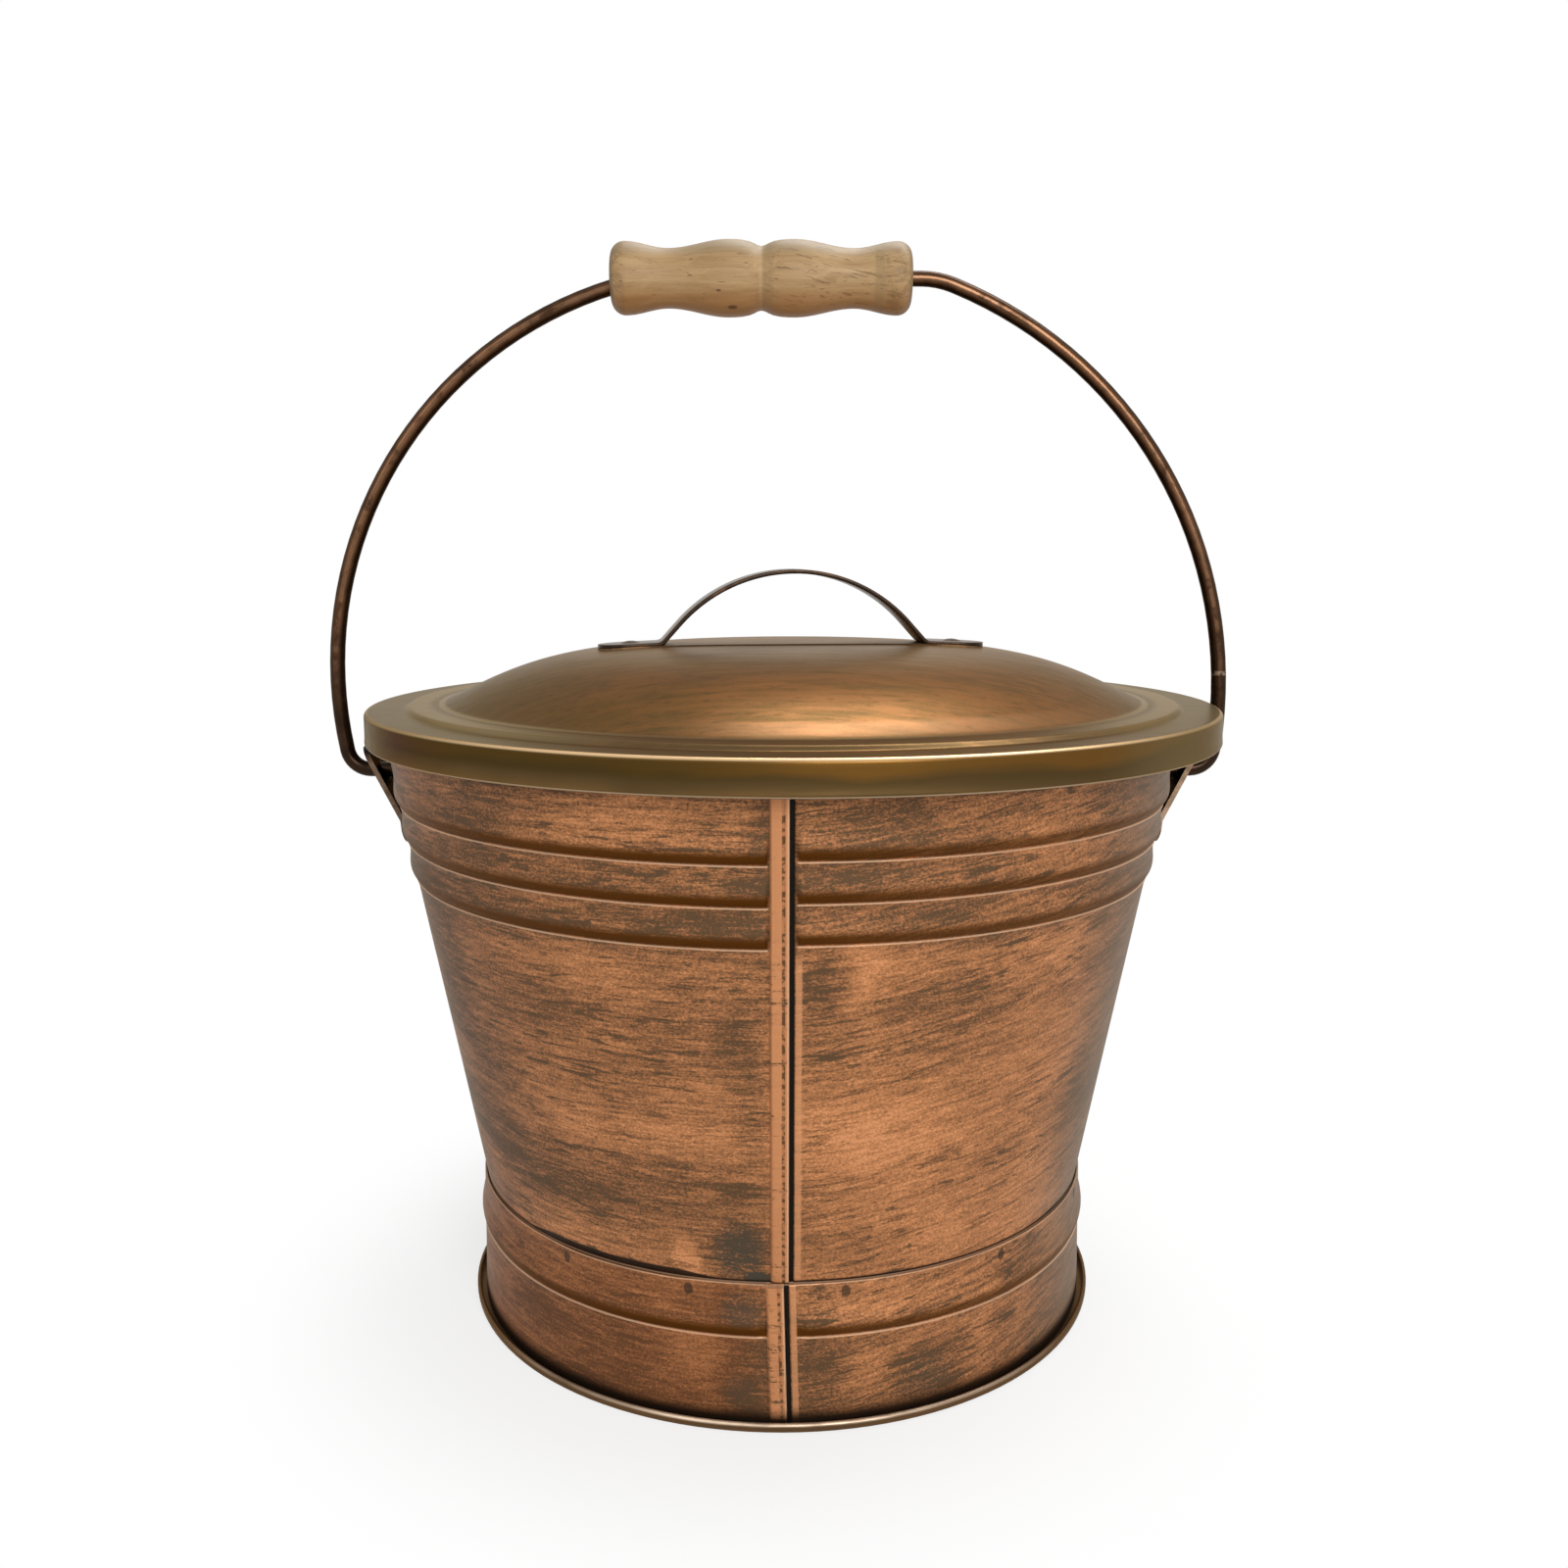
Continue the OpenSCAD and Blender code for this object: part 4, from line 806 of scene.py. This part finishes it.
# Where their layers lie, as above, in millimetres
LIP_Z, HOOKS_Z, CHIP_Z = (2.2, 3.0), (222, 262), (237.2, 238.3, 0.5)
SLANTING_X, ENDS_LEFT, ENDS_RIGHT = (-9, 0), (-55.5, -58.0), (36.5, 38.0)
RIM_LEFT, RIM_RIGHT, NECK_X = (-60.0, -61.8), (45.2, 47.0), (34.0, 36.5, 1.0)
GROOVE_X, GROOVE_LIGHT_X = (GRIP_X + 0.8, GRIP_X + 3.5, 1.5), (GRIP_X - 0.5, GRIP_X + 0.2, 0.6)
# The same in metres
LIP_SIDE_Y, LIP_FRONT_Y, CHIP_X = (-0.062, -0.105), (-0.108, -0.118), (0.160, 0.162)
EAR_TOP_Z, GRIP_UNDER_Z, GRIP_OVER_Z = (0.2055, 0.2085), (0.3800, 0.3710), (0.3860, 0.3925)
# Grain that the painted pieces share: features per metre, detail, roughness and distortion
SPOTS = ((150, 150, 150), 4, 0.65, 0.3)
# Knots of the grip: place and size in millimetres, and their shape along x, y and z as shares of the size
KNOTS = ((-17.8, -7.6, 370.7, 1.3), (-22.7, -12.1, 375.9, 0.7), (-47.6, -8.6, 372.1, 0.6),
         (37.0, -11.5, 384.0, 0.6), (-57.5, -12.0, 379.0, 0.7))
KNOT_SHAPE = (1.5, 1.0, 0.7)


def base_bronze():
    """Dark bronze with a painted highlight along the lip, strongest at the front, for the base plate."""
    p = Paint("base_bronze")
    clouds = p.noise((30, 30, 200), 3, 0.6)
    colour = p.mix(clouds, BASE_LIGHT, BASE_DARK)
    lip = p.smooth(p.in_mm(p.z), *LIP_Z)
    forward = p.add(p.times(p.smooth(p.y, *LIP_SIDE_Y), 0.35), p.times(p.smooth(p.y, *LIP_FRONT_Y), 0.65))
    # Painted highlight on the lip, strongest at the front
    colour = p.coat(colour, LIP_HIGHLIGHT, lip, p.smooth(clouds, 0.80, 0.45), forward)
    roughness = p.add(0.3, p.times(clouds, 0.15))
    normal = p.bump(clouds, distance=0.0001, strength=0.4)
    return p.surface(colour, roughness, 0.75, normal, specular=0.2, tint=(0.6, 0.5, 0.4))


def dark_bronze():
    """Near-black bronze paint, rubbed through to copper here and there."""
    p = Paint("dark_bronze")
    spots = p.noise(*SPOTS)
    worn = p.noise((28, 28, 28), 3, 0.6, 0.5)
    colour = p.mix(p.smooth(spots, 0.40, 0.80), PAINT_DARK, PAINT_LIGHT)
    colour = p.coat(colour, PAINT_WORN, p.smooth(worn, 0.62, 0.70), p.smooth(spots, 0.50, 0.62), 0.5)
    roughness = p.add(0.22, p.times(spots, 0.12))
    normal = p.bump(spots, distance=0.00008, strength=0.3)
    return p.surface(colour, roughness, 0.6, normal, specular=0.35, tint=(0.8, 0.7, 0.6))


def wire_bronze():
    """The same paint on the bail, with painted sheen and wear in brown along its middle and a painted
    highlight line, both fading at the hooks.
    """
    p = Paint("wire_bronze")
    z = p.in_mm(p.z)
    forward = p.magnitude(p.facing()[1])
    spots = p.noise(*SPOTS)
    runs = p.noise((45, 45, 45), 3, 0.6, 0.8)
    above_hooks = p.smooth(z, *HOOKS_Z)
    broken = p.add(0.45, p.times(p.smooth(p.add(runs, p.swing(spots, 0.5)), 0.36, 0.60), 0.55))
    # Painted sheen and wear along the middle of the wire's front- and back-facing sides
    sheen_and_wear = p.times(p.smooth(forward, 0.62, 0.92), broken)
    colour = p.mix(p.smooth(spots, 0.40, 0.80), WIRE_DARK, WIRE_LIGHT)
    colour = p.coat(colour, WIRE_SHEEN_BROWN, sheen_and_wear, p.add(0.15, p.times(above_hooks, 0.70)))
    # Painted highlight line along the wire
    line = p.times(p.smooth(forward, 0.93, 0.985), above_hooks, p.smooth(spots, 0.35, 0.55))
    colour = p.coat(colour, WIRE_HIGHLIGHT, line, 0.40)
    chip = p.times(p.window(z, *CHIP_Z), p.smooth(p.x, *CHIP_X), p.smooth(spots, 0.40, 0.50))
    colour = p.coat(colour, WIRE_CHIP, chip, 0.45)
    roughness = p.add(0.18, p.times(spots, 0.10))
    normal = p.bump(spots, distance=0.00006, strength=0.3)
    return p.surface(colour, roughness, 0.6, normal, specular=0.3, tint=(0.6, 0.5, 0.42))


def ear_bronze():
    """The same paint on the ears, worn to the metal outside, with black painted shade towards the wall and at
    the top.
    """
    p = Paint("ear_bronze")
    outward = p.times(p.facing()[0], p.math("SIGN", p.x))
    inner_face = p.smooth(outward, -0.25, -0.55)
    spots = p.noise(*SPOTS)
    worn = p.mix(p.smooth(spots, 0.35, 0.70), EAR_DARK, EAR_LIGHT)
    # Painted shade: black on the faces towards the wall and at the ear's top
    colour = p.mix(p.math("MAXIMUM", inner_face, p.smooth(p.z, *EAR_TOP_Z)), worn, SHADE_BLACK)
    metallic = p.add(0.5, p.times(inner_face, 0.5))
    roughness = p.add(0.30, p.times(spots, 0.12))
    normal = p.bump(spots, distance=0.00008, strength=0.3)
    return p.surface(colour, roughness, metallic, normal, specular=0.2, tint=(0.5, 0.4, 0.3))


def pale_wood():
    """Bare turned wood with fine lengthwise grain, pores and a few dirty places, and painted shade
    underneath, on top and at the end rims.
    """
    p = Paint("pale_wood")
    x = p.in_mm(p.x)
    rings = p.noise((16, 300, 300), 4, 0.6, 0.7)
    fibres = p.noise((60, 1500, 1500), 3, 0.6, 0.2)
    pores = p.noise((110, 1700, 1700), 2, 0.5)
    dirt = p.noise((260, 420, 420), 4, 0.7, 0.5)
    colour = p.ramp(rings, (0.34, WOOD_LIGHT), (0.70, WOOD_DARK))
    colour = p.coat(colour, WOOD_FIBRE, p.smooth(fibres, 0.50, 0.72), 0.32)
    # Slanting grain on the right half, where the surface is cut through
    cuts = p.noise((110, 800, 1000), 2, 0.5, 0.3, p.slant(-0.24))
    colour = p.coat(colour, WOOD_CUT, p.smooth(cuts, 0.60, 0.68), p.smooth(x, *SLANTING_X), 0.65)
    colour = p.coat(colour, WOOD_PORE, p.smooth(pores, 0.66, 0.72), 0.7)
    # Painted shade: warmer and darker underneath
    colour = p.coat(colour, WOOD_UNDER_SHADE, p.smooth(p.z, *GRIP_UNDER_Z), 0.65)
    # Painted shade: darker on top
    colour = p.coat(colour, WOOD_TOP_SHADE, p.smooth(p.z, *GRIP_OVER_Z), 0.75)
    ends = p.math("MAXIMUM", p.smooth(x, *ENDS_LEFT), p.smooth(x, *ENDS_RIGHT))
    colour = p.coat(colour, WOOD_DIRT, ends, p.smooth(dirt, 0.42, 0.60), 0.5)
    # Painted shade on the rounded rims of the ends
    rims = p.math("MAXIMUM", p.smooth(x, *RIM_LEFT), p.smooth(x, *RIM_RIGHT))
    colour = p.coat(colour, WOOD_RIM_SHADE, rims, 0.6)
    colour = p.coat(colour, WOOD_NECK, p.window(x, *NECK_X), 0.35)
    colour = p.coat(colour, WOOD_GROOVE, p.window(x, *GROOVE_X), 0.30)
    colour = p.coat(colour, WOOD_GROOVE_LIGHT, p.window(x, *GROOVE_LIGHT_X), 0.15)
    knots = 0.0
    for *middle, size in KNOTS:
        off = [p.times(p.add(p.in_mm(axis), -at), 1 / (size * far))
               for axis, at, far in zip((p.x, p.y, p.z), middle, KNOT_SHAPE)]
        knots = p.add(knots, p.smooth(p.add(*[p.times(o, o) for o in off]), 1.3, 0.3))
    colour = p.coat(colour, WOOD_KNOT, knots, 0.8)
    roughness = p.add(0.46, p.times(fibres, 0.12))
    normal = p.bump(p.add(rings, p.times(pores, 0.5)), distance=0.00025, strength=0.5)
    return p.surface(colour, roughness, 0.0, normal, specular=0.3)


# Finishes by slot, and the three nodes that have their own within their slot
FINISHES = {make.__name__: make() for make in (wall_copper, base_bronze, lid_bronze, dark_bronze, pale_wood)}
OWN_FINISHES = {"bail_wire": wire_bronze()}
OWN_FINISHES["ear_left"] = OWN_FINISHES["ear_right"] = ear_bronze()
for entry in frame["record"]["subparts"]:
    part = nodes[entry["node"]]
    part.data.materials.clear()
    part.data.materials.append(OWN_FINISHES.get(entry["node"], FINISHES[entry["material_slot"]]))

make_wall()
make_band()
make_lid()
make_strap()
make_grip()


# Camera, floor and light

def make_camera():
    data = bpy.data.cameras.new("camera")
    data.lens = CAMERA_LENS
    data.sensor_width = SENSOR_WIDTH
    data.clip_start, data.clip_end = CAMERA_NEAR, CAMERA_FAR
    camera = bpy.data.objects.new("camera", data)
    camera.location = CAMERA_PLACE
    camera.rotation_euler = (math.radians(90 - CAMERA_PITCH), 0, math.radians(-CAMERA_YAW))
    bpy.context.scene.collection.objects.link(camera)
    bpy.context.scene.camera = camera


def seen_as_white(tree, shader):
    """A shader for what lies behind: plain white where the camera, a mirror or glass looks at it."""
    path = tree.nodes.new("ShaderNodeLightPath")
    seen = path.outputs["Is Camera Ray"]
    for kind in ("Is Glossy Ray", "Is Transmission Ray"):
        either = tree.nodes.new("ShaderNodeMath")
        either.operation = "MAXIMUM"
        tree.links.new(seen, either.inputs[0])
        tree.links.new(path.outputs[kind], either.inputs[1])
        seen = either.outputs[0]
    white = tree.nodes.new("ShaderNodeEmission")
    white.inputs["Strength"].default_value = 1
    mixed = tree.nodes.new("ShaderNodeMixShader")
    tree.links.new(seen, mixed.inputs[0])
    tree.links.new(shader, mixed.inputs[1])
    tree.links.new(white.outputs[0], mixed.inputs[2])
    return mixed.outputs[0]


def make_world():
    world = bpy.data.worlds.new("studio")
    bpy.context.scene.world = world
    world.use_nodes = True
    tree = world.node_tree
    tree.nodes.clear()
    fill = tree.nodes.new("ShaderNodeBackground")
    fill.inputs["Strength"].default_value = WORLD_STRENGTH
    output = tree.nodes.new("ShaderNodeOutputWorld")
    tree.links.new(seen_as_white(tree, fill.outputs[0]), output.inputs["Surface"])


def make_floor():
    """A pale floor that is seen as plain white, but for a soft shadow round the base."""
    bpy.ops.mesh.primitive_circle_add(vertices=128, radius=FLOOR_R, fill_type="NGON")
    floor = bpy.context.object
    floor.name = "floor"
    p = Paint("floor")
    distance = p.new("ShaderNodeVectorMath", operation="LENGTH")
    p.join(p.object, distance.inputs[0])
    near = p.times(p.smooth(distance.outputs["Value"], SHADOW_END, SHADOW_START), SHADOW_SHARE)
    matt = p.new("ShaderNodeBsdfDiffuse")
    p.join(FLOOR_PALE, matt.inputs["Color"])
    mixed = p.new("ShaderNodeMixShader")
    for value, socket in zip((near, seen_as_white(p.tree, matt.outputs[0]), matt.outputs[0]), mixed.inputs):
        p.join(value, socket)
    floor.data.materials.append(p.finish(mixed.outputs[0]))


def softbox(name, stand, target, size, power):
    data = bpy.data.lights.new(name, "AREA")
    data.shape = "RECTANGLE"
    data.size, data.size_y = size
    data.energy = power
    lamp = bpy.data.objects.new(name, data)
    lamp.location = stand
    lamp.rotation_euler = (Vector(target) - Vector(stand)).to_track_quat("-Z", "Y").to_euler()
    bpy.context.scene.collection.objects.link(lamp)


make_camera()
make_world()
make_floor()
for lamp_values in LAMPS:
    softbox(*lamp_values)
bpy.context.scene.view_settings.view_transform = "Standard"
